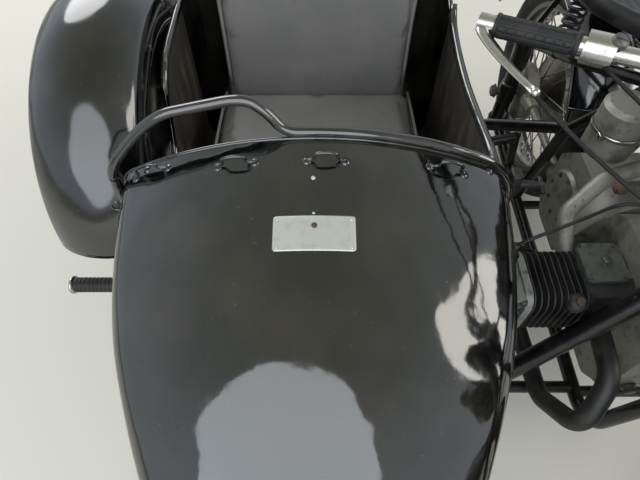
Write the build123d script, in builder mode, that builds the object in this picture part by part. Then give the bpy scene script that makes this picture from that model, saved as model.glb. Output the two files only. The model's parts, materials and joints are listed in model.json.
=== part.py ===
from build123d import *
from math import atan2, ceil, cos, degrees, hypot, radians, sin, sqrt, tan
import os

# A flat-twin motorcycle with a single-seat sidecar on its right side, standing on its three wheels.
# Millimetres. +Z is up, the machine faces -Y, and +X is the rider's left.
# The origin is on the floor, under the middle of the machine's length and width.

# Layout of the whole machine
wheelbase = 1430
track = 1166
car_wheel_lead = 290
rear_axle_y = 620
bike_x = 401
body_gap = 388
guard_gap = 20
car_guard_half = 108
front_axle_y = rear_axle_y - wheelbase
car_wheel_x = bike_x - track
car_axle_y = rear_axle_y - car_wheel_lead
body_half = (track - body_gap - guard_gap - car_guard_half) / 2
car_x = bike_x - body_gap - body_half

# Wheels, all three alike
tyre_radius = 333
tyre_width = 96
bead_radius = 241
rim_radius = 252
rim_width = 74
rim_wall = 3
drum_radius = 106
drum_wall = 6
drum_depth = 46
drum_side = 58
hub_radius = 34
hub_flange_radius = 52
hub_far_side = 46
spoke_count = 40
spoke_radius = 2
spoke_sweep = 26
axle_radius = 12
turning_clearance = 0.3
plate_gap = 5
axle_z = tyre_radius

# Steering
rake = 27.5
fork_offset = 80
leg_offset = 52
leg_spacing = 92
leg_radius = 27
slider_radius = 24
head_low = 506
head_high = 680
head_radius = 30
stem_radius = 17
yoke_thickness = 20
yoke_gap = 3
bar_radius = 12.5
bar_half_width = 425
grip_radius = 18
grip_length = 125

# Frame tubes
top_tube_radius = 21
rail_radius = 16
stay_radius = 13
cradle_half = 105
cradle_z = 165
seat_node_y = 182
seat_node_z = 690
plunger_half = 118
plunger_radius = 26

# Engine
crank_y = -150
crank_z = 440
case_half = 102
case_front_y = -300
case_back_y = -20
case_low_z = 215
case_high_z = 555
bell_radius = 158
bell_back_y = 66
gearbox_back_y = 240
gearbox_half = 98
barrel_radius = 46
fin_size = 132
fin_thickness = 2.6
fin_pitch = 12.5
fin_count = 9
head_length = 62
head_fin_count = 6

# Sidecar body
wall = 4
body_floor = 285
edge_y = -75
edge_shoulder = 705
edge_crown = 790
seat_back_y = 560
tail_y = 1170
lid_gap = 5.5

# Sidecar chassis
chassis_radius = 21
inner_rail_x = car_x + body_half + 43
outer_rail_x = car_x - body_half + 52
chassis_z = 240
chassis_front_y = -430
chassis_back_y = 520

os.makedirs("parts", exist_ok=True)


def keep(part, name):
    """Labels a finished piece and writes it under its node name."""
    part.label = name
    export_step(part, f"parts/{name}.step")


def across(y, x=0):
    """Plane that looks along the machine: its x is the machine's x, its y is up."""
    return Plane(origin=(x, y, 0), x_dir=(1, 0, 0), z_dir=(0, -1, 0))


def side(x):
    """Plane that looks across the machine: its x is the machine's y, its y is up, and it faces +X."""
    return Plane(origin=(x, 0, 0), x_dir=(0, 1, 0), z_dir=(1, 0, 0))


def pipe(points, radius, bend):
    """Round tube or bar along straight runs joined by arcs."""
    with BuildPart() as run:
        with BuildLine() as route:
            if len(points) > 2:
                FilletPolyline(*points, radius=bend)
            else:
                Line(*points)
        with BuildSketch(Plane(origin=route.line @ 0, z_dir=route.line % 0)):
            Circle(radius)
        sweep()
    return run.part


def rod(start, end, radius, far_radius=None):
    """Straight round bar or cone between two points."""
    run = Vector(end) - Vector(start)
    with BuildPart() as bar:
        with BuildSketch(Plane(origin=start, z_dir=run)):
            Circle(radius)
        if far_radius:
            with BuildSketch(Plane(origin=end, z_dir=run)):
                Circle(far_radius)
            loft()
        else:
            extrude(amount=run.length)
    return bar.part


def turned(profile, place):
    """Solid of revolution from (radius, height) points, its axis along the place's Z."""
    with BuildPart() as shape:
        with BuildSketch(Plane.XZ):
            with BuildLine():
                Polyline(*profile, close=True)
            make_face()
        revolve(axis=Axis.Z)
    return shape.part.moved(place)


def block(centre, size, corner=0):
    """Box about a centre, with rounded upright edges."""
    with BuildPart() as box:
        with BuildSketch(Plane(origin=(centre[0], centre[1], centre[2] - size[2] / 2))):
            if corner:
                RectangleRounded(size[0], size[1], corner)
            else:
                Rectangle(size[0], size[1])
        extrude(amount=size[2])
    return box.part


def facing_x(x, y, z):
    """Location whose Z runs along the machine's +X."""
    return Location((x, y, z), (0, 90, 0))


# Wheel: rim channel, drum hub and crossed spokes, made about Z with the drum at +Z

def rim_profile():
    """Rim channel from its outer flange over the bead seat and the well, and back inside."""
    flange = rim_width / 2
    seat = flange - rim_wall
    outer = [(rim_radius, flange), (rim_radius, seat), (bead_radius, seat)]
    well = [(bead_radius, seat - 12), (bead_radius - 13, 15), (bead_radius - 13, -15), (bead_radius, 12 - seat)]
    back = [(bead_radius, -seat), (rim_radius, -seat), (rim_radius, -flange), (bead_radius - rim_wall, -flange)]
    under = [(bead_radius - rim_wall, 10 - seat), (bead_radius - 13 - rim_wall, -14)]
    over = [(bead_radius - 13 - rim_wall, 14), (bead_radius - rim_wall, seat - 10), (bead_radius - rim_wall, flange)]
    return outer + well + back + under + over


drum_back = drum_side - drum_depth
hub_profile = [
    (axle_radius + turning_clearance, drum_back + drum_wall),
    (drum_radius - drum_wall, drum_back + drum_wall),
    (drum_radius - drum_wall, drum_side),
    (drum_radius, drum_side),
    (drum_radius, drum_back),
    (hub_radius, drum_back - 14),
    (hub_radius, 8 - hub_far_side),
    (hub_flange_radius, 6 - hub_far_side),
    (hub_flange_radius, -hub_far_side),
    (axle_radius + turning_clearance, -hub_far_side),
]

# Each row: flange radius, flange height, rim height, turn of the first spoke, sweep to the rim
spoke_sets = [
    (drum_radius - 4, drum_back + 3, 9, 0, spoke_sweep),
    (drum_radius - 4, drum_back + 9, 5, 18, -spoke_sweep),
    (hub_flange_radius - 4, 4 - hub_far_side, -9, 9, spoke_sweep),
    (hub_flange_radius - 4, 9 - hub_far_side, -5, 27, -spoke_sweep),
]

with BuildPart() as wheel:
    add(turned(hub_profile, Location()))
    add(turned(rim_profile(), Location()))
    for flange_radius, flange_z, rim_z, first, sweep_angle in spoke_sets:
        start = Vector(flange_radius, 0, flange_z)
        end = Vector(bead_radius - 14, 0, rim_z).rotate(Axis.Z, sweep_angle)
        spoke = rod(start, end, spoke_radius)
        with PolarLocations(0, spoke_count // 4, start_angle=first):
            add(spoke)

tyre_half = tyre_width / 2
bead_half = rim_width / 2 - rim_wall - turning_clearance
with BuildPart() as tyre:
    with BuildSketch(Plane.XZ):
        with BuildLine():
            Polyline(
                (rim_radius + 6, bead_half + 3),
                (rim_radius + 1, bead_half),
                (bead_radius, bead_half),
                (bead_radius, -bead_half),
                (rim_radius + 1, -bead_half),
                (rim_radius + 6, -bead_half - 3),
            )
            side_middle = (rim_radius + 33, tyre_half)
            shoulder = (tyre_radius - 14, tyre_half - 11)
            ThreePointArc((rim_radius + 6, bead_half + 3), side_middle, shoulder)
            ThreePointArc(shoulder, (tyre_radius, 0), (shoulder[0], -shoulder[1]))
            ThreePointArc((shoulder[0], -shoulder[1]), (side_middle[0], -tyre_half), (rim_radius + 6, -bead_half - 3))
        make_face()
    revolve(axis=Axis.Z)

# Each row: name, wheel plane x, axle y
wheel_places = [
    ("front", bike_x, front_axle_y),
    ("rear", bike_x, rear_axle_y),
    ("car", car_wheel_x, car_axle_y),
]
for name, x, y in wheel_places:
    with BuildPart() as placed_wheel:
        with Locations(facing_x(x, y, axle_z)):
            add(wheel.part)
    keep(placed_wheel.part, f"{name}_wheel")
    with BuildPart() as placed_tyre:
        with Locations(facing_x(x, y, axle_z)):
            add(tyre.part)
    keep(placed_tyre.part, f"{name}_tyre")

# Axles with their brake plates, which stay still inside the drums
plate_radius = drum_radius - drum_wall - plate_gap
plate_low = drum_side - 8


def axle_profile(near, far):
    """Axle from x = -far to x = near about the wheel's plane, with its brake plate and plate boss."""
    return [
        (0, near),
        (axle_radius, near),
        (axle_radius, drum_side + 6),
        (22, drum_side + 6),
        (22, drum_side),
        (plate_radius, drum_side),
        (plate_radius, plate_low),
        (axle_radius, plate_low - 2),
        (axle_radius, -far),
        (0, -far),
    ]


keep(turned(axle_profile(leg_spacing + 34, leg_spacing + 34), facing_x(bike_x, front_axle_y, axle_z)), "front_axle")
keep(turned(axle_profile(plunger_half + 40, plunger_half + 40), facing_x(bike_x, rear_axle_y, axle_z)), "rear_axle")

# Frame: steering head, top tube, cradle rails, seat tubes and rear stays

steer_up = Vector(0, sin(radians(rake)), cos(radians(rake)))
steer_back = Vector(0, cos(radians(rake)), -sin(radians(rake)))
axle_point = Vector(bike_x, front_axle_y, axle_z)
steer_origin = axle_point + steer_back * fork_offset


def on_steering(height, forward=0, x=0):
    """Point at a height up the steering axis, so far in front of it, so far to the side."""
    return steer_origin + steer_up * height - steer_back * forward + Vector(x, 0, 0)


head_top = on_steering(head_high - 80)
head_foot = on_steering(head_low + 54)
top_tube_points = [head_top, (bike_x, -150, 770), (bike_x, seat_node_y, seat_node_z)]
top_tube_bend = 250
# Each row: y and height of a bar across the top tube that carries the tank
tank_bars = [(-300, 797), (60, 742)]
lug_x = bike_x - 20
lug_y = -215
plunger_low_z = 232
plunger_high_z = 492
arm_post_y = 440
with BuildPart() as main_frame:
    add(rod(on_steering(head_low), on_steering(head_high), head_radius))
    add(pipe(top_tube_points, top_tube_radius, top_tube_bend))
    add(block((lug_x, lug_y, 738), (14, 50, 76)))
    for hand in (-1, 1):
        rail_x = bike_x + hand * cradle_half
        stay_x = bike_x + hand * plunger_half
        cradle_points = [
            head_foot + Vector(hand * 14, 10, 0),
            (rail_x - hand * 20, -370, 420),
            (rail_x, -350, cradle_z),
            (rail_x, 330, cradle_z),
            (stay_x, rear_axle_y, plunger_low_z - 14),
        ]
        seat_tube_points = [
            (bike_x + hand * 20, seat_node_y, seat_node_z),
            (bike_x + hand * 100, 272, 480),
            (rail_x, 330, cradle_z),
        ]
        stay_points = [
            (bike_x, seat_node_y - 8, seat_node_z - 6),
            (stay_x, 330, 640),
            (stay_x, rear_axle_y, plunger_high_z + 14),
        ]
        add(pipe(cradle_points, rail_radius, 75))
        add(pipe(seat_tube_points, rail_radius - 1, 60))
        add(pipe(stay_points, stay_radius, 90))
        for low in (plunger_low_z - 28, plunger_high_z):
            add(rod((stay_x, rear_axle_y, low), (stay_x, rear_axle_y, low + 28), plunger_radius + 3))
    for y in (case_front_y + 30, 296):
        add(rod((bike_x - cradle_half, y, cradle_z), (bike_x + cradle_half, y, cradle_z), stay_radius))
    for y, z in tank_bars:
        add(rod((bike_x - 48, y, z), (bike_x + 48, y, z), 9))
    add(rod((bike_x - 108, arm_post_y, 185), (bike_x - 125, arm_post_y, 314), stay_radius))
    add(rod(on_steering(head_low - 1), on_steering(head_high + 1), stem_radius + 0.5), mode=Mode.SUBTRACT)
keep(main_frame.part, "main_frame")

# Plunger columns: each one a lower and an upper spring cover about its axle lug
plunger_profile = [
    (0, plunger_low_z),
    (plunger_radius - 3, plunger_low_z),
    (plunger_radius - 3, axle_z - 34),
    (plunger_radius, axle_z - 30),
    (plunger_radius, axle_z + 30),
    (plunger_radius - 5, axle_z + 34),
    (plunger_radius - 5, 420),
    (plunger_radius, 424),
    (plunger_radius, plunger_high_z),
    (0, plunger_high_z),
]
with BuildPart() as plungers:
    for hand in (-1, 1):
        add(turned(plunger_profile, Location((bike_x + hand * plunger_half, rear_axle_y, 0))))
    add(rod(
        (bike_x - 200, rear_axle_y, axle_z), (bike_x + 200, rear_axle_y, axle_z), axle_radius
    ), mode=Mode.SUBTRACT)
    add(main_frame.part, mode=Mode.SUBTRACT)
keep(plungers.part, "plungers")

# Fork: stem, two yokes and two legs that carry the axle

lower_yoke = head_low - yoke_gap - yoke_thickness
upper_yoke = head_high + yoke_gap
yoke_top = upper_yoke + yoke_thickness
leg_top = upper_yoke + 8
slider_top = 315
lamp_height = 560
lamp_forward = 135
lamp_centre = on_steering(lamp_height, lamp_forward)
lamp_back_y = lamp_centre.Y + 66
lamp_profile = [
    (0, 0), (20, 2), (50, 16), (74, 54), (85, 104), (86, 118), (91, 120), (91, 138), (84, 140), (0, 150),
]
lamp_place = Location((bike_x, lamp_back_y, lamp_centre.Z), (90, 0, 0))
headlamp = turned(lamp_profile, lamp_place)
keep(headlamp, "headlamp")

with BuildPart() as fork:
    add(rod(on_steering(lower_yoke), on_steering(yoke_top + 10), stem_radius))
    for height in (lower_yoke, upper_yoke):
        yoke_plane = Plane(origin=on_steering(height), x_dir=(1, 0, 0), z_dir=steer_up)
        with BuildSketch(yoke_plane):
            with Locations((-leg_spacing, -leg_offset), (leg_spacing, -leg_offset)):
                Circle(leg_radius + 5)
            Circle(stem_radius + 10)
            make_hull()
        extrude(amount=yoke_thickness)
    for hand in (-1, 1):
        x = hand * leg_spacing
        add(rod(on_steering(slider_top - 40, leg_offset, x), on_steering(leg_top, leg_offset, x), leg_radius))
        add(rod(on_steering(-26, leg_offset, x), on_steering(slider_top, leg_offset, x), slider_radius))
        near = on_steering(0, fork_offset, x - 22)
        far = on_steering(0, fork_offset, x + 22)
        add(rod(near, far, slider_radius))
        ear = Vector(bike_x + x, lamp_centre.Y + 90, lamp_centre.Z)
        add(rod(ear, Vector(bike_x + x, lamp_centre.Y - 28, lamp_centre.Z), 12))
    add(rod((bike_x - 200, front_axle_y, axle_z), (bike_x + 200, front_axle_y, axle_z), axle_radius),
        mode=Mode.SUBTRACT)
    add(headlamp, mode=Mode.SUBTRACT)
keep(fork.part, "fork")

# Handlebar, swept back, with its clamps, end plugs and twist-grip drum

bar_height = 735
bar_clamp_x = 45
bar_centre = on_steering(bar_height)
bar_end = Vector(bar_half_width + 22, 42, 900)
bar_elbow = Vector(225, -82, 912)
bar_rise = Vector(150, -372, 968)


def bar_point(point, hand):
    """A point of the left half of the bar, on either hand."""
    return Vector(bike_x + hand * point.X, point.Y, point.Z)


def along_bar(distance, hand):
    """Point on the straight end of the bar, measured inwards from its end."""
    return bar_point(bar_end + (bar_elbow - bar_end).normalized() * distance, hand)


bar_middle = [Vector(hand * 62 + bike_x, bar_centre.Y, bar_centre.Z) for hand in (-1, 1)]
bar_points = [bar_point(point, -1) for point in (bar_end, bar_elbow, bar_rise)]
bar_points += bar_middle + [bar_point(point, 1) for point in (bar_rise, bar_elbow, bar_end)]
with BuildPart() as handlebar:
    add(pipe(bar_points, bar_radius, 42))
    for hand in (-1, 1):
        x = hand * bar_clamp_x
        add(rod(on_steering(yoke_top, 0, x), on_steering(bar_height + 16, 0, x), 17))
        add(rod(along_bar(0, hand), along_bar(-22, hand), bar_radius + 1))
    add(rod(along_bar(grip_length + 4, -1), along_bar(grip_length + 44, -1), 23))
    add(rod(along_bar(grip_length + 4, 1), along_bar(grip_length + 26, 1), 18))
keep(handlebar.part, "handlebar")

with BuildPart() as grips:
    for hand in (-1, 1):
        add(rod(along_bar(2, hand), along_bar(grip_length, hand), grip_radius))
    add(handlebar.part, mode=Mode.SUBTRACT)
keep(grips.part, "grips")

lever_root = Vector(bar_half_width + 39, 35, 899)
lever_middle = Vector(bar_half_width + 22, -30, 884)
lever_tip = Vector(bar_half_width - 14, -88, 880)
with BuildPart() as hand_levers:
    for hand in (-1, 1):
        points = [bar_point(point, hand) for point in (lever_root, lever_middle, lever_tip)]
        add(pipe(points, 5.5, 120))
        with Locations(points[-1]):
            Sphere(8)
        add(rod(along_bar(-12, hand), bar_point(lever_root, hand), 7))
    add(handlebar.part, mode=Mode.SUBTRACT)
keep(hand_levers.part, "hand_levers")


# Mudguards: an arched strip turned part of the way round the wheel

def guard_face(crown, half, skirt, inset):
    """Filled section of a mudguard, set in by the wall thickness, as (radius, across) in the XZ plane."""
    top = crown - inset
    edge = half - inset
    low = skirt - inset * 2
    with BuildSketch(Plane.XZ) as face:
        with BuildLine():
            Polyline((top - 42, edge), (low, edge), (low, -edge), (top - 42, -edge))
            ThreePointArc((top - 42, -edge), (top, 0), (top - 42, edge))
        make_face()
    return face.sketch


def guard(crown, half, skirt, first, sweep_angle, x, y, z=axle_z, filled=False):
    """Mudguard about an axle: first angle from straight behind, rising towards the front."""
    with BuildPart() as strip:
        add(guard_face(crown, half, skirt, 0))
        revolve(axis=Axis.Z, revolution_arc=sweep_angle)
        if not filled:
            add(guard_face(crown, half, skirt, guard_wall))
            revolve(axis=Axis.Z, revolution_arc=sweep_angle, mode=Mode.SUBTRACT)
    turned_up = strip.part.rotate(Axis.Y, 90).rotate(Axis.X, 90 + first)
    return turned_up.moved(Location((x, y, z)))


guard_wall = 3

front_guard_half = 60
front_guard_crown = 366
with BuildPart() as front_mudguard:
    add(guard(front_guard_crown, front_guard_half, 304, -22, 192, bike_x, front_axle_y))
    for hand in (-1, 1):
        add(rod(on_steering(345, leg_offset, hand * (front_guard_half - 13)),
                on_steering(345, leg_offset, hand * leg_spacing), 9))
        lug = on_steering(0, fork_offset, hand * 71)
        for turn in (-12, 158):
            reach = 316
            rim = Vector(hand * 60 + bike_x, front_axle_y + reach * cos(radians(turn)), 0)
            rim += Vector(0, 0, axle_z + reach * sin(radians(turn)))
            add(rod(lug, rim, 5))
    add(fork.part, mode=Mode.SUBTRACT)
    add(rod((bike_x - 200, front_axle_y, axle_z), (bike_x + 200, front_axle_y, axle_z), axle_radius),
        mode=Mode.SUBTRACT)
keep(front_mudguard.part, "front_mudguard")

# Engine: crankcase, bell housing, gearbox, two finned cylinders with their heads

case_profile = [
    (case_back_y, case_low_z),
    (case_back_y, case_high_z - 25),
    (case_back_y - 40, case_high_z),
    (case_front_y + 70, case_high_z),
    (case_front_y, case_high_z - 70),
    (case_front_y, case_low_z + 70),
    (case_front_y + 60, case_low_z),
]
dynamo_z = case_high_z + 42
dynamo_front_y = -262
with BuildPart() as engine_case:
    with BuildSketch(side(bike_x - case_half)):
        with BuildLine():
            FilletPolyline(*case_profile, radius=24, close=True)
        make_face()
    extrude(amount=2 * case_half)
    add(rod((bike_x, case_front_y, crank_z - 10), (bike_x, case_front_y - 24, crank_z - 10), 92, 84))
    add(rod((bike_x, case_back_y, 400), (bike_x, bell_back_y, 400), bell_radius, bell_radius - 26))
    add(block((bike_x, -160, case_low_z - 8), (150, 210, 16), 20))
    add(rod((bike_x, dynamo_front_y, dynamo_z), (bike_x, dynamo_front_y + 190, dynamo_z), 48))
    add(block((bike_x, dynamo_front_y + 95, dynamo_z - 34), (70, 150, 30)))
keep(engine_case.part, "engine_case")

gearbox_profile = [
    (bell_back_y, 250),
    (bell_back_y, 500),
    (gearbox_back_y - 60, 500),
    (gearbox_back_y, 440),
    (gearbox_back_y, 290),
    (gearbox_back_y - 40, 250),
]
shaft_x = bike_x - 72
shaft_z = 352
with BuildPart() as gearbox:
    with BuildSketch(side(bike_x - gearbox_half)):
        with BuildLine():
            FilletPolyline(*gearbox_profile, radius=16, close=True)
        make_face()
    extrude(amount=2 * gearbox_half)
    add(rod((shaft_x, gearbox_back_y, shaft_z), (shaft_x, gearbox_back_y + 26, shaft_z), 30, 24))
    for hand in (-1, 1):
        face_x = bike_x + hand * gearbox_half
        add(rod((face_x, 150, 375), (face_x + hand * 8, 150, 375), 70, 64))
    add(main_frame.part, mode=Mode.SUBTRACT)
keep(gearbox.part, "gearbox")

chest_reach = 195
fin_start = 199
head_start = fin_start + fin_count * fin_pitch - 8
head_reach = head_start + head_length
port_x = 158
port_z = 430
with BuildPart() as one_cylinder:
    add(rod((case_half, crank_y, crank_z), (head_start, crank_y, crank_z), barrel_radius))
    add(rod((case_half, crank_y, crank_z), (case_half + 8, crank_y, crank_z), 62))
    add(block(((case_half + chest_reach) / 2 + 4, crank_y + 8, crank_z), (chest_reach - case_half - 8, 118, 122), 16))
    add(block(((case_half + chest_reach) / 2 + 4, crank_y + 24, crank_z + 65), (82, 88, 8), 14))
    add(rod((case_half + 46, crank_y + 24, crank_z + 68), (case_half + 46, crank_y + 24, crank_z + 74), 7))
    add(rod((port_x, crank_y - 40, port_z), (port_x, crank_y - 66, port_z), 27))
    for index in range(fin_count):
        with BuildSketch(Plane.YZ.offset(fin_start + index * fin_pitch)):
            with Locations((crank_y, crank_z)):
                RectangleRounded(fin_size, fin_size, 34)
        extrude(amount=fin_thickness)
    with BuildSketch(Plane.YZ.offset(head_start)):
        with Locations((crank_y, crank_z)):
            RectangleRounded(fin_size, fin_size, 34)
    extrude(amount=14)
    add(block((head_start + 26, crank_y, crank_z), (34, 92, 108), 10))
    for index in range(head_fin_count):
        height = crank_z - 55 + index * 22
        thick = 3.5 if index < head_fin_count - 1 else 9
        add(block((head_start + head_length / 2 + 3, crank_y, height), (head_length - 8, 122 - 4 * abs(index - 2.5), thick), 14))
with BuildPart() as cylinders:
    with Locations((bike_x, 0, 0)):
        add(one_cylinder.part)
        add(one_cylinder.part.mirror(Plane.YZ))
keep(cylinders.part, "cylinders")

# Carburettor between the cylinders' intake pipes, and its air cleaner

intake_points = [(200, -84, 470), (190, -5, 508), (118, 42, 562), (0, 52, 612)]
carburettor_y = 52
cleaner_centre = (bike_x - 98, 122, 632)
with BuildPart() as carburettor:
    for hand in (-1, 1):
        points = [(bike_x + hand * x, y, z) for x, y, z in intake_points]
        add(pipe(points, 17, 40))
    add(rod((bike_x, carburettor_y, 578), (bike_x, carburettor_y, 662), 27))
    add(rod((bike_x + 44, carburettor_y, 578), (bike_x + 44, carburettor_y, 632), 21))
    add(rod((bike_x, carburettor_y, 632), (cleaner_centre[0], cleaner_centre[1], 632), 20))
    add(cylinders.part, mode=Mode.SUBTRACT)
    cleaner_rod = rod((cleaner_centre[0], cleaner_centre[1], 570), (cleaner_centre[0], cleaner_centre[1], 694), 50)
    add(cleaner_rod, mode=Mode.SUBTRACT)
keep(carburettor.part, "carburettor")

cleaner_profile = [(0, -62), (44, -62), (50, -56), (50, -6), (52, -6), (52, 6), (50, 6), (50, 50), (42, 60), (0, 62)]
with BuildPart() as air_cleaner:
    add(turned(cleaner_profile, Location(cleaner_centre)))
    add(carburettor.part, mode=Mode.SUBTRACT)
keep(air_cleaner.part, "air_cleaner")

# Exhaust: from each port forwards, down, back under the cylinder and into its silencer
exhaust_radius = 20
silencer_x = 215
exhaust_points = [
    (port_x, crank_y - 66, port_z), (165, -330, 425), (200, -395, 330), (218, -300, 225), (silencer_x, -60, 192),
    (silencer_x, 190, 212),
]
silencer_profile = [(0, -10), (22, -10), (38, 40), (38, 430), (17, 470), (17, 550), (0, 550)]
with BuildPart() as exhaust:
    for hand in (-1, 1):
        points = [(bike_x + hand * x, y, z) for x, y, z in exhaust_points]
        x = bike_x + hand * silencer_x
        add(pipe(points, exhaust_radius, 60))
        add(rod((bike_x + hand * port_x, crank_y - 66, port_z), (bike_x + hand * port_x, crank_y - 84, port_z), 26))
        add(turned(silencer_profile, Plane(origin=points[-1], z_dir=(0, 250, 6)).location))
    add(cylinders.part, mode=Mode.SUBTRACT)
keep(exhaust.part, "exhaust")

# Final drive: bevel box on the right of the rear hub, its shaft and its casing
with BuildPart() as final_drive:
    add(rod((bike_x - 54, rear_axle_y, axle_z), (bike_x - 88, rear_axle_y, axle_z), 84))
    add(rod((shaft_x, rear_axle_y - 60, shaft_z - 4), (shaft_x, rear_axle_y - 110, shaft_z - 2), 26, 18))
    add(rod((shaft_x, rear_axle_y - 60, shaft_z - 4), (shaft_x, gearbox_back_y + 26, shaft_z), 11))
    add(rod((bike_x - 200, rear_axle_y, axle_z), (bike_x + 200, rear_axle_y, axle_z), axle_radius),
        mode=Mode.SUBTRACT)
    add(gearbox.part, mode=Mode.SUBTRACT)
keep(final_drive.part, "final_drive")

# Fuel tank over the top tube

# Each row: y, half width, underside height, top height, corner radius
tank_sections = [
    (-345, 70, 768, 866, 34),
    (-250, 122, 748, 886, 52),
    (-120, 136, 744, 874, 56),
    (20, 116, 742, 838, 44),
    (125, 62, 744, 788, 20),
]


def rounded_section(y, half, low, high, corner):
    """Upright rounded section across the machine's y axis, as a sketch on its own plane."""
    with BuildSketch(across(y, bike_x)) as section:
        with Locations((0, (low + high) / 2)):
            RectangleRounded(2 * half, high - low, corner)
    return section.sketch


with BuildPart() as fuel_tank:
    loft(sections=[rounded_section(*row) for row in tank_sections])
    with BuildSketch(side(bike_x - 30)):
        Polygon((-500, 700), (400, 700), (400, 640), (182, 690), (-150, 770), (-480, 836), align=None)
    extrude(amount=60, mode=Mode.SUBTRACT)
    add(pipe(top_tube_points, 30, top_tube_bend), mode=Mode.SUBTRACT)
    add(rod((bike_x, -232, 860), (bike_x, -228, 908), 34))
    add(main_frame.part, mode=Mode.SUBTRACT)
keep(fuel_tank.part, "fuel_tank")

# Saddle, with its nose pivot and two springs that stand on the frame stays

saddle_low = 745
saddle_high = 788
saddle_outline = [(0, 212), (80, 245), (140, 330), (156, 430), (112, 516), (0, 542)]
with BuildPart() as saddle:
    with BuildSketch(Plane.XY.offset(saddle_low)):
        with BuildLine():
            left = [(bike_x + x, y) for x, y in saddle_outline]
            right = [(bike_x - x, y) for x, y in saddle_outline[-2:0:-1]]
            Spline(*left, *right, periodic=True)
        make_face()
    extrude(amount=saddle_high - saddle_low)
    fillet(saddle.faces().sort_by(Axis.Z)[-1].edges(), 14)
keep(saddle.part, "saddle")

spring_y = 430
with BuildPart() as saddle_springs:
    for hand in (-1, 1):
        x = bike_x + hand * plunger_half
        add(rod((x, spring_y, 585), (x, spring_y, 626), 15))
        for index in range(6):
            z = 626 + index * 19
            add(rod((x, spring_y, z), (x, spring_y, z + 9.5), 14, 25))
            add(rod((x, spring_y, z + 9.5), (x, spring_y, z + 19), 25, 14))
        add(rod((x, spring_y, 626 + 114), (x, spring_y, saddle_low), 25))
    add(rod((bike_x, 215, 676), (bike_x, 240, saddle_low), 12))
    add(main_frame.part, mode=Mode.SUBTRACT)
    add(saddle.part, mode=Mode.SUBTRACT)
keep(saddle_springs.part, "saddle_springs")

# Rear mudguard with its flared tail, its stays and its bare plate

rear_guard_half = 75
rear_guard_crown = 362
tail_start = 50
tail_length = 270
tail_root = Vector(0, cos(radians(tail_start)), sin(radians(tail_start))) * rear_guard_crown
tail_way = Vector(0, sin(radians(tail_start)), -cos(radians(tail_start)))
rear_axle_point = Vector(bike_x, rear_axle_y, axle_z)
tail_plane = Plane(origin=rear_axle_point, x_dir=(-1, 0, 0), z_dir=tail_way)


def tail_face(inset):
    """Section of the rear mudguard on the plane where its straight tail begins."""
    top = rear_guard_crown - inset
    edge = rear_guard_half - inset
    low = 312 - inset * 2
    with BuildSketch(tail_plane) as face:
        with BuildLine():
            Polyline((edge, top - 42), (edge, low), (-edge, low), (-edge, top - 42))
            ThreePointArc((-edge, top - 42), (0, top), (edge, top - 42))
        make_face()
    return face.sketch


def rear_guard_solid(filled=False):
    """Arch and tail of the rear mudguard."""
    with BuildPart() as strip:
        add(guard(rear_guard_crown, rear_guard_half, 312, tail_start, 100, bike_x, rear_axle_y, filled=filled))
        extrude(tail_face(0), amount=tail_length, dir=tail_way)
        if not filled:
            extrude(tail_face(guard_wall), amount=tail_length, dir=tail_way, mode=Mode.SUBTRACT)
    return strip.part


rack_z = 742
rack_y = (640, 850)
rack_half = 105
rack_hole_x = 75
rack_hole_y = 60
rack_middle_y = (rack_y[0] + rack_y[1]) / 2
rear_guard_envelope = rear_guard_solid(filled=True)
with BuildPart() as rear_mudguard:
    add(rear_guard_solid())
    with BuildPart(mode=Mode.PRIVATE) as stays:
        for hand in (-1, 1):
            add(rod((bike_x + hand * 60, 450, 626), (bike_x + hand * plunger_half, 450, 584), 8))
            add(rod((bike_x + hand * 60, rear_axle_y, 668),
                    (bike_x + hand * plunger_half, rear_axle_y, plunger_high_z + 20), 8))
        add(rear_guard_envelope, mode=Mode.SUBTRACT)
        add(main_frame.part, mode=Mode.SUBTRACT)
    add(stays.part)
keep(rear_mudguard.part, "rear_mudguard")

with BuildPart() as rack:
    rail_points = [
        (bike_x - rack_half, rack_y[0], rack_z), (bike_x - rack_half, rack_y[1], rack_z),
        (bike_x + rack_half, rack_y[1], rack_z), (bike_x + rack_half, rack_y[0], rack_z),
    ]
    add(pipe(rail_points, 7, 30))
    add(rod(rail_points[0], rail_points[3], 7))
    add(block((bike_x, rack_middle_y, rack_z + 4), (2 * rack_half, 2 * rack_hole_y + 50, 6), 12))
    with Locations((bike_x, rack_middle_y, rack_z + 4)):
        with GridLocations(2 * rack_hole_x, 2 * rack_hole_y, 2, 2):
            Cylinder(4.5, 20, mode=Mode.SUBTRACT)
    for x in (-45, 45):
        for y in (rack_y[0] + 35, rack_y[1] - 35):
            add(rod((bike_x + x, y, rack_z + 4), (bike_x + x, y, 560), 7))
    add(rear_guard_envelope, mode=Mode.SUBTRACT)
rack_solid = rack.part.solids().sort_by(SortBy.VOLUME)[-1]
keep(Part(rack_solid.wrapped), "rack")

# Foot controls: two foot rests on the cradle, gear lever and kick starter on the left of the gearbox
with BuildPart() as foot_controls:
    for hand in (-1, 1):
        rest = [(105, 60, cradle_z), (150, 60, 262), (272, 60, 262)]
        add(pipe([(bike_x + hand * x, y, z) for x, y, z in rest], 9, 30))
        add(rod((bike_x + hand * 178, 60, 262), (bike_x + hand * 270, 60, 262), 17))
    left_face = bike_x + gearbox_half + 8
    add(pipe([(left_face, 118, 345), (left_face + 34, 118, 345), (left_face + 44, -20, 318),
              (left_face + 92, -24, 318)], 7, 14))
    add(pipe([(left_face, 196, 392), (left_face + 30, 196, 392), (left_face + 44, 330, 420),
              (left_face + 110, 334, 422)], 8, 14))
    add(main_frame.part, mode=Mode.SUBTRACT)
    add(gearbox.part, mode=Mode.SUBTRACT)
keep(foot_controls.part, "foot_controls")

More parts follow.
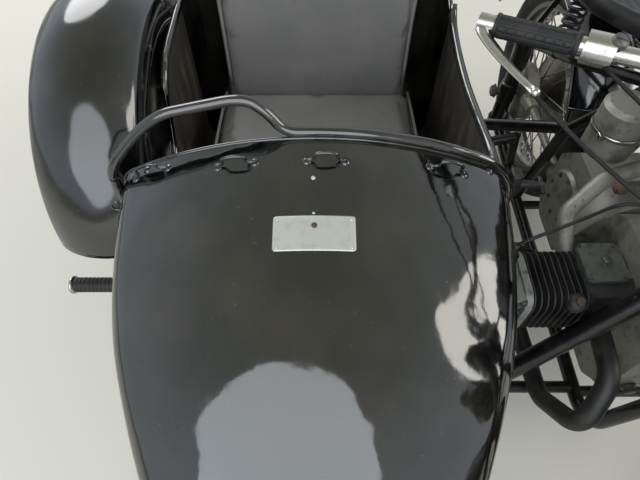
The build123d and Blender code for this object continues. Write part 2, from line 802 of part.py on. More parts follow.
with BuildPart() as battery:
    add(block((bike_x + gearbox_half + 34, 126, 500), (68, 96, 100), 6))
    add(gearbox.part, mode=Mode.SUBTRACT)
    add(engine_case.part, mode=Mode.SUBTRACT)
keep(battery.part, "battery")

# Sidecar body: lofted nose and tail, and a tub between them, all of one sheet

# Each row: y, half width, underside height, shoulder height, crown height, corner radius
nose_sections = [
    (edge_y, body_half, body_floor, edge_shoulder, edge_crown, 45),
    (-330, body_half - 24, 292, 662, 735, 45),
    (-560, body_half - 98, 330, 575, 640, 45),
    (-720, body_half - 170, 385, 480, 535, 38),
    (-800, body_half - 228, 398, 446, 482, 18),
]
tail_sections = [
    (seat_back_y, body_half, body_floor, 700, 772, 45),
    (860, body_half - 32, 305, 590, 655, 45),
    (tail_y, body_half - 107, 395, 455, 498, 30),
]


def hull_face(y, half, low, shoulder, crown, corner, inset):
    """Section of the sidecar body: level underside, upright sides and an arched top."""
    edge = half - inset
    base = low + inset
    with BuildSketch(across(y, car_x)) as face:
        with BuildLine():
            Polyline((edge, shoulder - inset), (edge, base), (-edge, base), (-edge, shoulder - inset))
            ThreePointArc((-edge, shoulder - inset), (0, crown - inset), (edge, shoulder - inset))
        make_face()
        fillet(face.vertices(), corner - inset)
    return face.sketch


def hull(rows, inset):
    """Loft through the body's sections, set in by a wall thickness."""
    with BuildPart() as solid:
        loft(sections=[hull_face(*row, inset) for row in rows])
    return solid.part


def stretched(rows, start, end):
    """The same sections with the first one moved forwards or the last one moved back, to cut the inside."""
    first = (rows[0][0] + start,) + rows[0][1:]
    last = (rows[-1][0] + end,) + rows[-1][1:]
    return [first] + rows[1:-1] + [last]


nose_envelope = hull(nose_sections, 0)
with BuildPart() as car_nose:
    add(nose_envelope)
    add(hull(stretched(nose_sections, 0, wall), wall), mode=Mode.SUBTRACT)
keep(car_nose.part, "car_nose")

# Boot opening and lid, both cut from the sheet of the tail
boot_front_y = 632
boot_back_y = 1010
boot_half = body_half - 122
lid_hinge_y = 616
lid_hinge_x = body_half - 202
hinge_pin = 3
hinge_knuckle = 7
tail_envelope = hull(tail_sections, 0)


def top_of(shape, x, y):
    """Height of the highest point of a shape over a place."""
    hits = shape.find_intersection_points(Axis((x, y, 2000), (0, 0, -1)))
    return max(point.Z for point, normal in hits)


def boot_cutter(inset):
    """Upright prism over the boot opening, from inside the tail to above it."""
    length = boot_back_y - boot_front_y - 2 * inset
    middle = (boot_back_y + boot_front_y) / 2
    return block((car_x, middle, 620), (2 * (boot_half - inset), length, 480), 40 - inset)


lid_hinge_z = top_of(tail_envelope, car_x + lid_hinge_x, lid_hinge_y) + 15
tail_shell_inside = hull(stretched(tail_sections, wall, -wall), wall)
with BuildPart() as car_tail:
    add(tail_envelope)
    add(tail_shell_inside, mode=Mode.SUBTRACT)
    add(boot_cutter(0), mode=Mode.SUBTRACT)
    for hand in (-1, 1):
        x = car_x + hand * lid_hinge_x
        foot_z = lid_hinge_z - 20
        for near in (-22, 13):
            add(rod((x + near, lid_hinge_y, lid_hinge_z), (x + near + 9, lid_hinge_y, lid_hinge_z), hinge_knuckle))
            add(block((x + near + 4.5, lid_hinge_y - 2, (foot_z + lid_hinge_z) / 2), (9, 10, lid_hinge_z - foot_z)))
        add(rod((x - 22, lid_hinge_y, lid_hinge_z), (x + 22, lid_hinge_y, lid_hinge_z), hinge_pin))
keep(car_tail.part, "car_tail")

with BuildPart() as boot_lid:
    add(tail_envelope)
    add(tail_shell_inside, mode=Mode.SUBTRACT)
    add(boot_cutter(lid_gap), mode=Mode.INTERSECT)
    for hand in (-1, 1):
        x = car_x + hand * lid_hinge_x
        strap_y = lid_hinge_y + 58
        strap_z = top_of(tail_envelope, x, strap_y) - 1
        with BuildSketch(side(x - 11)):
            Polygon((lid_hinge_y, lid_hinge_z + 4), (lid_hinge_y, lid_hinge_z - 2),
                    (strap_y, strap_z - 2), (strap_y, strap_z + 4), align=None)
        extrude(amount=22)
        add(rod((x - 11, lid_hinge_y, lid_hinge_z), (x + 11, lid_hinge_y, lid_hinge_z), hinge_knuckle))
        add(rod((x - 12, lid_hinge_y, lid_hinge_z), (x + 12, lid_hinge_y, lid_hinge_z), hinge_pin + 0.3),
            mode=Mode.SUBTRACT)
    handle_y = boot_back_y - 40
    handle_z = top_of(tail_envelope, car_x, handle_y)
    add(block((car_x, handle_y, handle_z + 8), (70, 14, 20), 4))
keep(boot_lid.part, "boot_lid")

# Tub: floor and two side walls of one section, the walls cut down along the cockpit's rims
rim_bead = 7
floor_half = body_half - 72
inner_rim = [(edge_y, 664), (0, 674), (120, 655), (280, 640), (440, 656), (seat_back_y, 690)]
outer_rim = [
    (edge_y, 664), (-56, 590), (-10, 512), (70, 496), (170, 506), (205, 580), (222, 652), (280, 688), (420, 694),
    (seat_back_y, 692),
]


def tub_solid(inset):
    """Open-topped trough of the tub, set in by the wall thickness."""
    edge = body_half - inset
    with BuildPart() as trough:
        with BuildSketch(across(seat_back_y, car_x)):
            with BuildLine():
                FilletPolyline(
                    (edge, 900 + inset), (edge, body_floor + inset), (-edge, body_floor + inset),
                    (-edge, 900 + inset), radius=45 - inset,
                )
                Line((-edge, 900 + inset), (edge, 900 + inset))
            make_face()
        extrude(amount=seat_back_y - edge_y)
    return trough.part


def below_rim(points, x, width):
    """Prism under a cockpit rim, over a width across the machine."""
    with BuildPart() as prism:
        with BuildSketch(side(x)):
            with BuildLine():
                FilletPolyline(*points, radius=22)
                Polyline(points[-1], (seat_back_y, 200), (edge_y, 200), points[0])
            make_face()
        extrude(amount=width)
    return prism.part


def rim_tube(points, x):
    """Rolled edge along a cockpit rim."""
    with BuildPart() as bead:
        with BuildLine():
            FilletPolyline(*[(x, y, z) for y, z in points], radius=22)
        with BuildSketch(Plane(origin=(x,) + points[0], z_dir=(0, points[1][0] - points[0][0],
                                                                points[1][1] - points[0][1]))):
            Circle(rim_bead)
        sweep()
    return bead.part


ends = block((car_x, (edge_y + seat_back_y) / 2, 500), (900, seat_back_y - edge_y, 900))
# Each row: name, hand, rim
tub_sides = [("car_side_inner", 1, inner_rim), ("car_side_outer", -1, outer_rim)]
for name, hand, rim in tub_sides:
    wall_x = car_x + hand * (body_half - wall / 2)
    start_x = car_x + (floor_half if hand > 0 else -body_half - 10)
    with BuildPart() as tub_side:
        add(tub_solid(0))
        add(tub_solid(wall), mode=Mode.SUBTRACT)
        add(below_rim(rim, start_x, body_half + 10 - floor_half), mode=Mode.INTERSECT)
        add(rim_tube(rim, wall_x))
        add(ends, mode=Mode.INTERSECT)
    keep(tub_side.part, name)

seat_low = 366
seat_front_y = 55
box_back_y = 475
with BuildPart() as car_floor:
    middle_y = (edge_y + seat_back_y) / 2
    add(block((car_x, middle_y, body_floor + wall / 2), (2 * floor_half, seat_back_y - edge_y, wall)))
    box_y = (seat_front_y + box_back_y) / 2
    box_z = (body_floor + wall + seat_low) / 2
    box_width = 2 * (floor_half - 20)
    box_length = box_back_y - seat_front_y
    add(block((car_x, box_y, box_z), (box_width, box_length, seat_low - body_floor - wall)))
    add(block((car_x, box_y, box_z), (box_width - 2 * wall, box_length - 2 * wall, 60)), mode=Mode.SUBTRACT)
    add(block((car_x, box_y, body_floor + wall / 2), (box_width, box_length, wall)))
keep(car_floor.part, "car_floor")

cushion_half = floor_half - 2
cushion_front_y = seat_front_y - 12
cushion_back_y = 472
with BuildPart() as seat_cushion:
    cushion_size = (2 * cushion_half, cushion_back_y - cushion_front_y, 104)
    add(block((car_x, (cushion_front_y + cushion_back_y) / 2, seat_low + 52), cushion_size, 50))
    fillet(seat_cushion.faces().sort_by(Axis.Z)[-1].edges(), 26)
keep(seat_cushion.part, "seat_cushion")

back_profile = [(seat_back_y, body_floor + wall), (seat_back_y, 764), (520, 768), (476, 476), (476, body_floor + wall)]
with BuildPart() as seat_back:
    with BuildSketch(side(car_x - cushion_half)):
        Polygon(*back_profile, align=None)
    extrude(amount=2 * cushion_half)
    fillet(seat_back.faces().sort_by(Axis.Y)[0].edges().filter_by(Axis.X), 4)
    fillet(seat_back.edges().filter_by(Axis.X).sort_by(Axis.Z)[-2:], 18)
keep(seat_back.part, "seat_back")

# Sidecar chassis: a hoop of tube, the axle's cross tube and upright, and the stub axle with its brake plate

stub_x = car_wheel_x + 84
rail_points = [
    (inner_rail_x, chassis_back_y, chassis_z), (inner_rail_x, chassis_front_y, chassis_z),
    (outer_rail_x, chassis_front_y, chassis_z), (outer_rail_x, chassis_back_y, chassis_z),
]
step_y = -94
step_z = 362
step_tip = car_x - body_half - 214
step_rise_x = car_x - body_half - 33
tow_hole = 8
with BuildPart() as chassis:
    add(pipe(rail_points, chassis_radius, 150))
    add(rod(rail_points[0], rail_points[3], chassis_radius))
    add(rod((inner_rail_x, car_axle_y, chassis_z), (stub_x, car_axle_y, chassis_z), 26))
    add(block((stub_x, car_axle_y, (chassis_z - 26 + axle_z + 36) / 2), (28, 70, axle_z + 62 - chassis_z), 12))
    add(turned(axle_profile(84, hub_far_side + 14), facing_x(car_wheel_x, car_axle_y, axle_z)))
    add(pipe([(outer_rail_x, step_y, chassis_z), (step_rise_x, step_y, chassis_z), (step_rise_x - 10, step_y, step_z),
              (step_tip, step_y, step_z)], 12, 30))
    add(block((car_x, chassis_back_y + 34, chassis_z), (60, 60, 16), 8))
    with Locations((car_x, chassis_back_y + 44, chassis_z)):
        Cylinder(tow_hole, 40, mode=Mode.SUBTRACT)
keep(chassis.part, "chassis")

with BuildPart() as step_rubber:
    add(rod((step_tip, step_y, step_z), (step_tip + 118, step_y, step_z), 17))
    add(rod((step_tip - 6, step_y, step_z), (step_tip, step_y, step_z), 20))
    add(chassis.part, mode=Mode.SUBTRACT)
keep(step_rubber.part, "step_rubber")

# Struts between the chassis and the motorcycle's frame
upper_lug_z = 716
with BuildPart() as struts:
    add(rod((inner_rail_x + 8, -275, chassis_z), (bike_x - 47, lug_y, upper_lug_z), 20))
    add(rod((bike_x - 62, lug_y, upper_lug_z), (lug_x - 7, lug_y, upper_lug_z), 16))
    add(pipe([(inner_rail_x, -260, chassis_z), (inner_rail_x + 60, -260, 168),
              (bike_x - cradle_half, -260, cradle_z)], 14, 40))
    add(rod((inner_rail_x, arm_post_y, chassis_z + 10), (bike_x - 125, arm_post_y, 306), 15))
    add(pipe([(inner_rail_x, 500, chassis_z), (bike_x - 240, 470, 330), (bike_x - 100, 284, 484)], 16, 160))
    add(chassis.part, mode=Mode.SUBTRACT)
    add(main_frame.part, mode=Mode.SUBTRACT)
keep(struts.part, "struts")

# Body mounts: two rubber posts in front, two packs of leaves behind
leaf_x = body_half - 122
leaf_steps = [(-30, 14), (250, 24), (250, 18), (190, 16), (190, 11), (130, 9), (130, 4), (-30, 2)]
with BuildPart() as leaf_springs:
    for hand in (-1, 1):
        x = car_x + hand * leaf_x
        add(rod((x - hand * 60, chassis_front_y, chassis_z + 10), (x - hand * 60, chassis_front_y, 420), 20))
        with BuildSketch(side(x - 22)):
            Polygon(*[(chassis_back_y + y, chassis_z + chassis_radius + z) for y, z in leaf_steps], align=None)
        extrude(amount=44)
        add(block((x, chassis_back_y, chassis_z + chassis_radius), (52, 30, 12)))
        add(rod((x, chassis_back_y + 238, chassis_z + 38), (x, chassis_back_y + 238, 400), 10))
    add(chassis.part, mode=Mode.SUBTRACT)
    add(nose_envelope, mode=Mode.SUBTRACT)
    add(tail_envelope, mode=Mode.SUBTRACT)
keep(leaf_springs.part, "leaf_springs")

car_guard_crown = 405
car_guard_z = axle_z + 60
car_guard_place = (car_guard_crown, car_guard_half, 300, 4, 170, car_wheel_x, car_axle_y, car_guard_z)
guard_side_x = car_wheel_x + car_guard_half
with BuildPart() as car_mudguard:
    add(guard(*car_guard_place))
    for y in (car_axle_y - 304, car_axle_y + 304):
        inner_y = min(y, chassis_back_y - 10)
        add(pipe([(guard_side_x - 1, y, 500), (guard_side_x + 5, y, 460), (guard_side_x + 3, inner_y, 300),
                  (guard_side_x + 1, inner_y, chassis_z), (outer_rail_x, inner_y, chassis_z)], 8, 18))
    add(chassis.part, mode=Mode.SUBTRACT)
keep(car_mudguard.part, "car_mudguard")

# Grab rail along the nose's edge, with its hump on the outer side, and the strap staples
rail_radius_top = 8.5
arch_rise = edge_crown - edge_shoulder
arch_radius = (body_half ** 2 + arch_rise ** 2) / (2 * arch_rise)
arch_centre_z = edge_crown - arch_radius


def arch_point(x, lift):
    """Point over the cockpit edge's arch, so far across from the middle of the body."""
    return (car_x + x, edge_y, arch_centre_z + sqrt((arch_radius + lift) ** 2 - x ** 2))


rail_lift = rail_radius_top - 1.5
foot_x = body_half + rail_lift
# Each row: middle of the staple across from the middle of the body, its y
staple_places = [(62 - body_half, -99), (205 - body_half, -119), (17, -121), (body_half - 118, -111)]
staple_half = 22
arch_start = 280 - body_half
arch_end = body_half - 32
with BuildPart() as grab_rail:
    rail_route = [
        (car_x - foot_x, edge_y - 18, 640), (car_x - foot_x, edge_y - 14, 735), (car_x - body_half + 80, edge_y + 6, 822),
        (car_x - body_half + 221, edge_y + 16, 848),
    ]
    rail_route += [arch_point(arch_start, rail_lift)]
    add(pipe(rail_route, rail_radius_top, 25))
    with BuildPart() as arch_tube:
        with BuildLine() as arch:
            ThreePointArc(*[arch_point(x, rail_lift) for x in (arch_start, (arch_start + arch_end) / 2, arch_end)])
        with BuildSketch(Plane(origin=arch.line @ 0, z_dir=arch.line % 0)):
            Circle(rail_radius_top)
        sweep()
    add(arch_tube.part)
    foot_points = [arch_point(arch_end, rail_lift), (car_x + foot_x, edge_y - 10, 690),
                   (car_x + foot_x, edge_y - 18, 640)]
    add(pipe(foot_points, rail_radius_top, 20))
    for hand in (-1, 1):
        add(block((car_x + hand * (body_half + 3), edge_y - 26, 650), (6, 40, 34)))
    for x, y in staple_places:
        left, right = car_x + x - staple_half, car_x + x + staple_half
        left_z = top_of(nose_envelope, left, y)
        right_z = top_of(nose_envelope, right, y)
        add(pipe([(left, y, left_z - 8), (left, y - 4, left_z + 15), (right, y - 4, right_z + 15),
                  (right, y, right_z - 8)], 3, 7))
    add(nose_envelope, mode=Mode.SUBTRACT)
keep(grab_rail.part, "grab_rail")

# Rear lamps: one on the motorcycle's mudguard, one on the sidecar's
lamp_rows = [
    (rear_guard_envelope, bike_x, rear_axle_y + rear_guard_crown * cos(radians(tail_start)) + 70),
    (guard(*car_guard_place, filled=True), car_wheel_x, car_axle_y + car_guard_crown * cos(radians(32))),
]
with BuildPart() as lamps:
    for envelope, x, y in lamp_rows:
        z = top_of(envelope, x, y)
        add(rod((x, y - 30, z + 10), (x, y + 26, z + 10), 30))
        add(block((x, y - 8, z - 10), (40, 40, 40)))
    for envelope, x, y in lamp_rows:
        add(envelope, mode=Mode.SUBTRACT)
keep(lamps.part, "lamps")
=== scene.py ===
"""Looks of a flat-twin motorcycle with its sidecar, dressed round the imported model.

Metres, +Z up, the machine faces -Y, its rider's left is +X and the sidecar stands on the -X side.
"""

import json
import logging
import math
from collections.abc import Sequence
from dataclasses import dataclass
from enum import Enum

import bmesh
import bpy
import numpy as np
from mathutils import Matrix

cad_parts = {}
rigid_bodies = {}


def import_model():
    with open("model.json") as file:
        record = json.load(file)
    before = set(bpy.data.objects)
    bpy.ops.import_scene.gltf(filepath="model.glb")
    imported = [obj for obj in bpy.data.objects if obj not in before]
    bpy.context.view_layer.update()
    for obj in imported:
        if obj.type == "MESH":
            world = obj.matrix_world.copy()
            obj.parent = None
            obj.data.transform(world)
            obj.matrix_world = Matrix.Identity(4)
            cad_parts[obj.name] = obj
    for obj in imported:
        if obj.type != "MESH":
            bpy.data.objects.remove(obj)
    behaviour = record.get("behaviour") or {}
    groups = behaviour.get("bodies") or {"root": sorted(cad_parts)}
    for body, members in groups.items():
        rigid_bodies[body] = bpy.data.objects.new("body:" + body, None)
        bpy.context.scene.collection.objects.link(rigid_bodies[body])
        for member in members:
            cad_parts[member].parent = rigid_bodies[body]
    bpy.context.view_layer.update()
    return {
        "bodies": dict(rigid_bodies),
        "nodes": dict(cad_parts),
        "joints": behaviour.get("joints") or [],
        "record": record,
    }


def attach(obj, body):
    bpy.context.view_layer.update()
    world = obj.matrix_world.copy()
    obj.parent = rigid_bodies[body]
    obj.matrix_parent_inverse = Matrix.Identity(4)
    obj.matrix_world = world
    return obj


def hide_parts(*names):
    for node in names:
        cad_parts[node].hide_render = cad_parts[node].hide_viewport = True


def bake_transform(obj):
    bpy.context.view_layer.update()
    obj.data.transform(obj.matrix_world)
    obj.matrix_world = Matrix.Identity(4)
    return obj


LOG = logging.getLogger("outfit")
Array = np.ndarray
Point = tuple[float, float, float]
# Rows of numbers, such as the corners of a route or the radii and heights of a profile
Rows = Array | Sequence[Sequence[float]]
Node = bpy.types.Node
Piece = bpy.types.Object
Socket = bpy.types.NodeSocket
Tree = bpy.types.NodeTree


class Body(Enum):
    """CAD body that a piece rides on."""

    FRAME = "frame"
    FORK = "fork"
    FRONT_WHEEL = "front_wheel"
    REAR_WHEEL = "rear_wheel"
    CAR_WHEEL = "car_wheel"


class Slot(Enum):
    """Material slot of the record."""

    BLACK_PAINT = "black_paint"
    BLACK_TUBE = "black_tube"
    BARE_STEEL = "bare_steel"
    SEAT_VINYL = "seat_vinyl"
    SADDLE_RUBBER = "saddle_rubber"
    GRIP_RUBBER = "grip_rubber"
    TYRE_RUBBER = "tyre_rubber"
    BATTERY_CASE = "battery_case"
    LAMP_BODY = "lamp_body"


class Side(Enum):
    """Side of a middle plane, as the rider sees it; the value is the sign of x there."""

    RIGHT = -1
    LEFT = 1

    @property
    def label(self) -> str:
        """Word that the names of pieces end with."""
        return self.name.lower()


# Middle planes of the motorcycle and of the sidecar's body, the cockpit end of the nose, and the wheels' centres
BIKE_X = 0.401
CAR_X = -0.312
EDGE_Y = -0.075
WHEELS: dict[Body, Point] = {
    Body.FRONT_WHEEL: (BIKE_X, -0.810, 0.333),
    Body.REAR_WHEEL: (BIKE_X, 0.620, 0.333),
    Body.CAR_WHEEL: (-0.765, 0.330, 0.333),
}


# Small tools for meshes and materials


def linear(code: str) -> tuple[float, float, float, float]:
    """Turns an sRGB hex value into linear light.

    Args:
        code: Six hex digits, such as "1a1a1b".
    Returns:
        Red, green, blue and an alpha of 1.
    """
    channels = [int(code[i : i + 2], 16) / 255 for i in (0, 2, 4)]
    red, green, blue = [c / 12.92 if c <= 0.04045 else ((c + 0.055) / 1.055) ** 2.4 for c in channels]
    return red, green, blue, 1.0


def add_node(tree: Tree, kind: str, settings: dict | None = None, links: dict | None = None) -> Node:
    """Adds a node to a tree.

    Args:
        tree: The material's node tree.
        kind: Blender's name of the node type.
        settings: Attributes of the node, or input sockets by name or index, and their values.
        links: Input sockets by name or index, and the output socket that feeds each one.
    Returns:
        The new node.
    """
    made = tree.nodes.new(kind)
    for key, value in (settings or {}).items():
        if isinstance(key, int) or key in made.inputs:
            made.inputs[key].default_value = value
        else:
            setattr(made, key, value)
    for key, source in (links or {}).items():
        tree.links.new(source, made.inputs[key])
    return made


def unit(vectors: Array) -> Array:
    """Divides each vector by its own length."""
    return vectors / np.maximum(np.linalg.norm(vectors, axis=-1, keepdims=True), 1e-12)


def mesh_object(name: str, points: Rows, faces: list, smooth: bool = True) -> Piece:
    """Makes an object of points and faces, with doubled points merged and faces turned outwards.

    Args:
        name: Name of the piece.
        points: Rows of x, y, z.
        faces: Lists of point numbers.
        smooth: Whether its faces are shaded smooth.
    Returns:
        The new object, at the origin.
    """
    mesh = bpy.data.meshes.new(name)
    mesh.from_pydata(np.asarray(points, float).reshape(-1, 3), [], faces)
    edit = bmesh.new()
    edit.from_mesh(mesh)
    bmesh.ops.remove_doubles(edit, verts=edit.verts, dist=1e-6)
    bmesh.ops.recalc_face_normals(edit, faces=edit.faces)
    edit.to_mesh(mesh)
    edit.free()
    mesh.polygons.foreach_set("use_smooth", np.full(len(mesh.polygons), smooth))
    made = bpy.data.objects.new(name, mesh)
    bpy.context.scene.collection.objects.link(made)
    return made


def grid_faces(rows: int, columns: int, wrap_rows: bool, wrap_columns: bool, start: int = 0) -> list:
    """Quads between neighbouring points of a grid that is stored row by row.

    Args:
        rows: Number of rows.
        columns: Number of points in a row.
        wrap_rows: Whether the last row joins the first.
        wrap_columns: Whether the last column joins the first.
        start: Number of the grid's first point.
    Returns:
        Lists of four point numbers.
    """
    row = np.arange(rows if wrap_rows else rows - 1)[:, None]
    column = np.arange(columns if wrap_columns else columns - 1)[None, :]
    next_row, next_column = (row + 1) % rows, (column + 1) % columns
    pairs = ((row, column), (row, next_column), (next_row, next_column), (next_row, column))
    corners = [np.broadcast_to(r * columns + c, (row.size, column.size)) for r, c in pairs]
    return (np.stack(corners, -1).reshape(-1, 4) + start).tolist()


def surface(
    name: str, grid: Array, wrap_rows: bool = False, wrap_columns: bool = False, caps: bool = False
) -> Piece:
    """Makes an object of a grid of points.

    Args:
        name: Name of the piece.
        grid: Points as rows x columns x 3.
        wrap_rows: Whether the last row joins the first.
        wrap_columns: Whether the last column joins the first.
        caps: Whether the first and last rows are closed with a face each.
    Returns:
        The new object.
    """
    rows, columns = grid.shape[:2]
    faces = grid_faces(rows, columns, wrap_rows, wrap_columns)
    if caps:
        faces += [list(range(columns)), list(range((rows - 1) * columns, rows * columns))]
    return mesh_object(name, grid.reshape(-1, 3), faces)


def joined(name: str, parts: list[Piece]) -> Piece:
    """Joins finished objects into one piece.

    Args:
        name: Name of the joined piece.
        parts: Objects to join; they are used up.
    Returns:
        The piece.
    """
    edit = bmesh.new()
    for part in parts:
        edit.from_mesh(part.data)
    mesh = bpy.data.meshes.new(name)
    edit.to_mesh(mesh)
    edit.free()
    for part in parts:
        bpy.data.objects.remove(part)
    made = bpy.data.objects.new(name, mesh)
    bpy.context.scene.collection.objects.link(made)
    return made


def rounded_route(points: Rows, passes: int = 4) -> Array:
    """Softens a route: each pass replaces every inner corner by points a quarter of the way along its two runs.

    Args:
        points: Corners of the route.
        passes: How often the corners are cut.
    Returns:
        Points of the softened route, with the same two ends.
    """
    route = np.asarray(points, float)
    for _ in range(passes):
        near = route[:-1] * 0.75 + route[1:] * 0.25
        far = route[:-1] * 0.25 + route[1:] * 0.75
        cut = np.stack([near, far], 1).reshape(-1, 3)
        route = np.vstack([route[:1], cut[1:-1], route[-1:]])
    return route


def tube(
    name: str,
    route: Rows,
    radius: float | Array,
    sides: int = 16,
    flat: float = 1.0,
    level: Point = (0.0, 0.0, 1.0),
) -> Piece:
    """Carries a circle along a route: point = route + radius * (cos t * side + flat * sin t * up).

    Args:
        name: Name of the piece.
        route: Points of the centre line.
        radius: One radius, or one for each point.
        sides: Points round the circle.
        flat: Height of the section over its width.
        level: Direction that the section's sides keep square to.
    Returns:
        The closed tube.
    """
    route = np.asarray(route, float)
    along = unit(np.gradient(route, axis=0))
    across = np.cross(along, np.asarray(level, float))
    weak = np.linalg.norm(across, axis=1) < 0.05
    across[weak] = np.cross(along[weak], (0.0, 1.0, 0.02))
    across = unit(across)
    up = np.cross(across, along)
    turn = np.linspace(0, 2 * np.pi, sides, endpoint=False)
    size = np.broadcast_to(np.asarray(radius, float), (len(route),))[:, None, None]
    ring = np.cos(turn)[None, :, None] * across[:, None, :] + flat * np.sin(turn)[None, :, None] * up[:, None, :]
    return surface(name, route[:, None, :] + size * ring, wrap_columns=True, caps=True)


def axes_of(axis: Point) -> tuple[Array, Array, Array]:
    """Finds two directions square to an axis and to each other.

    Args:
        axis: Direction of the axis.
    Returns:
        The axis as a unit vector, and the two directions.
    """
    along = unit(np.asarray(axis, float))
    first = unit(np.cross(along, (0.0, 0.0, 1.0) if abs(along[2]) < 0.9 else (0.0, 1.0, 0.0)))
    return along, first, np.cross(along, first)


def turned(name: str, profile: Rows, centre: Point, axis: Point, sides: int = 48) -> Piece:
    """Turns a profile about an axis: point = centre + height * axis + radius * (cos t * a + sin t * b).

    Args:
        name: Name of the piece.
        profile: Rows of radius and height along the axis.
        centre: Where the height is 0.
        axis: Direction of the axis.
        sides: Points round the axis.
    Returns:
        The turned piece.
    """
    profile = np.asarray(profile, float)
    along, first, second = axes_of(axis)
    turn = np.linspace(0, 2 * np.pi, sides, endpoint=False)
    ring = np.cos(turn)[:, None] * first + np.sin(turn)[:, None] * second
    grid = np.asarray(centre) + profile[:, 1][:, None, None] * along + profile[:, 0][:, None, None] * ring[None]
    return surface(name, grid, wrap_columns=True)


def rounded_block(name: str, centre: Point, size: Point, radius: float, steps: int = 3) -> Piece:
    """Box with every edge rounded: point = corner of the inner box + radius * a direction of the same octant.

    Args:
        name: Name of the piece.
        centre: Middle of the box.
        size: Whole width, depth and height.
        radius: Radius of its edges.
        steps: Facets in each quarter turn.
    Returns:
        The closed block.
    """
    quarter = np.linspace(0, np.pi / 2, steps + 1)
    turn = np.concatenate([quarter + k * np.pi / 2 for k in range(4)])
    turn_sign = np.repeat([[1, 1], [-1, 1], [-1, -1], [1, -1]], steps + 1, axis=0)
    tilt = np.concatenate([quarter - np.pi / 2, quarter])
    tilt_sign = np.repeat([-1, 1], steps + 1)
    level = np.cos(tilt)[:, None]
    ball = np.stack([level * np.cos(turn), level * np.sin(turn), np.sin(tilt)[:, None] * np.ones_like(turn)], -1)
    signs = [turn_sign[:, 0], turn_sign[:, 1], tilt_sign[:, None]]
    signs = np.stack([np.broadcast_to(sign, ball.shape[:2]) for sign in signs], -1)
    inner = np.asarray(size) / 2 - radius
    return surface(name, np.asarray(centre) + signs * inner + radius * ball, wrap_columns=True, caps=True)


def hex_heads(name: str, places: Rows, axes: Rows, across: float, height: float) -> Piece:
    """Hexagon heads with a chamfered top and a washer, all in one mesh.

    Args:
        name: Name of the piece.
        places: Foot of each head.
        axes: Direction of each head, or one direction for all.
        across: Size across the flats.
        height: Height of a head.
    Returns:
        The piece.
    """
    places = np.atleast_2d(np.asarray(places, float))
    axes = unit(np.broadcast_to(np.asarray(axes, float), places.shape))
    corner = across / math.sqrt(3)
    radii = np.array([corner * 1.25, corner * 1.25, corner, corner, corner * 0.82, 0.0])
    heights = np.array([-0.1, 0.16, 0.16, 0.86, 1.0, 1.0]) * height
    turn = np.arange(6) * np.pi / 3
    helper = np.where(np.abs(axes[:, 2:3]) < 0.9, [[0.0, 0.0, 1.0]], [[0.0, 1.0, 0.0]])
    first = unit(np.cross(axes, helper))
    second = np.cross(axes, first)
    ring = np.cos(turn)[None, :, None] * first[:, None] + np.sin(turn)[None, :, None] * second[:, None]
    points = places[:, None, None] + heights[None, :, None, None] * axes[:, None, None]
    points = points + radii[None, :, None, None] * ring[:, None]
    count = radii.size * 6
    faces = [f for i in range(len(places)) for f in grid_faces(radii.size, 6, False, True, i * count)]
    faces += [list(range(i * count, i * count + 6)) for i in range(len(places))]
    return mesh_object(name, points.reshape(-1, 3), faces, smooth=False)


def harden(piece: Piece, width: float = 0.0008, segments: int = 2) -> Piece:
    """Rounds a piece's sharp edges with a bevel, so that they catch the light.

    Args:
        piece: The piece.
        width: Width of the bevel.
        segments: Facets across it.
    Returns:
        The same piece.
    """
    bevel = piece.modifiers.new("edge", "BEVEL")
    bevel.width = width
    bevel.segments = segments
    bevel.limit_method = "ANGLE"
    bevel.angle_limit = math.radians(40)
    return piece


def thicken(piece: Piece, thickness: float, offset: float = -1.0) -> Piece:
    """Gives a sheet its wall.

    Args:
        piece: The sheet.
        thickness: Thickness of the wall.
        offset: Where the wall lies: -1 behind the faces, 1 in front of them, 0 on both sides.
    Returns:
        The same piece.
    """
    wall = piece.modifiers.new("wall", "SOLIDIFY")
    wall.thickness = thickness
    wall.offset = offset
    return piece


# Finishes


@dataclass(frozen=True)
class Patch:
    """Second colour that comes through in soft-edged patches.

    It covers where a noise, whose value lies mostly between 0.3 and 0.7, is above low, and fully above high.
    """

    colour: str
    size_mm: float
    low: float
    high: float
    most: float
    stretch: Point = (1.0, 1.0, 1.0)
    roughness: float | None = None


@dataclass(frozen=True)
class Relief:
    """Height pattern of a surface: size of its features and their depth, both in millimetres."""

    size_mm: float
    depth_mm: float
    stretch: Point = (1.0, 1.0, 1.0)
    cells: bool = False


@dataclass(frozen=True)
class Base:
    """What a material is built on: its node tree, its shader, and the place on the piece, in metres."""

    tree: Tree
    shader: Node
    place: Socket


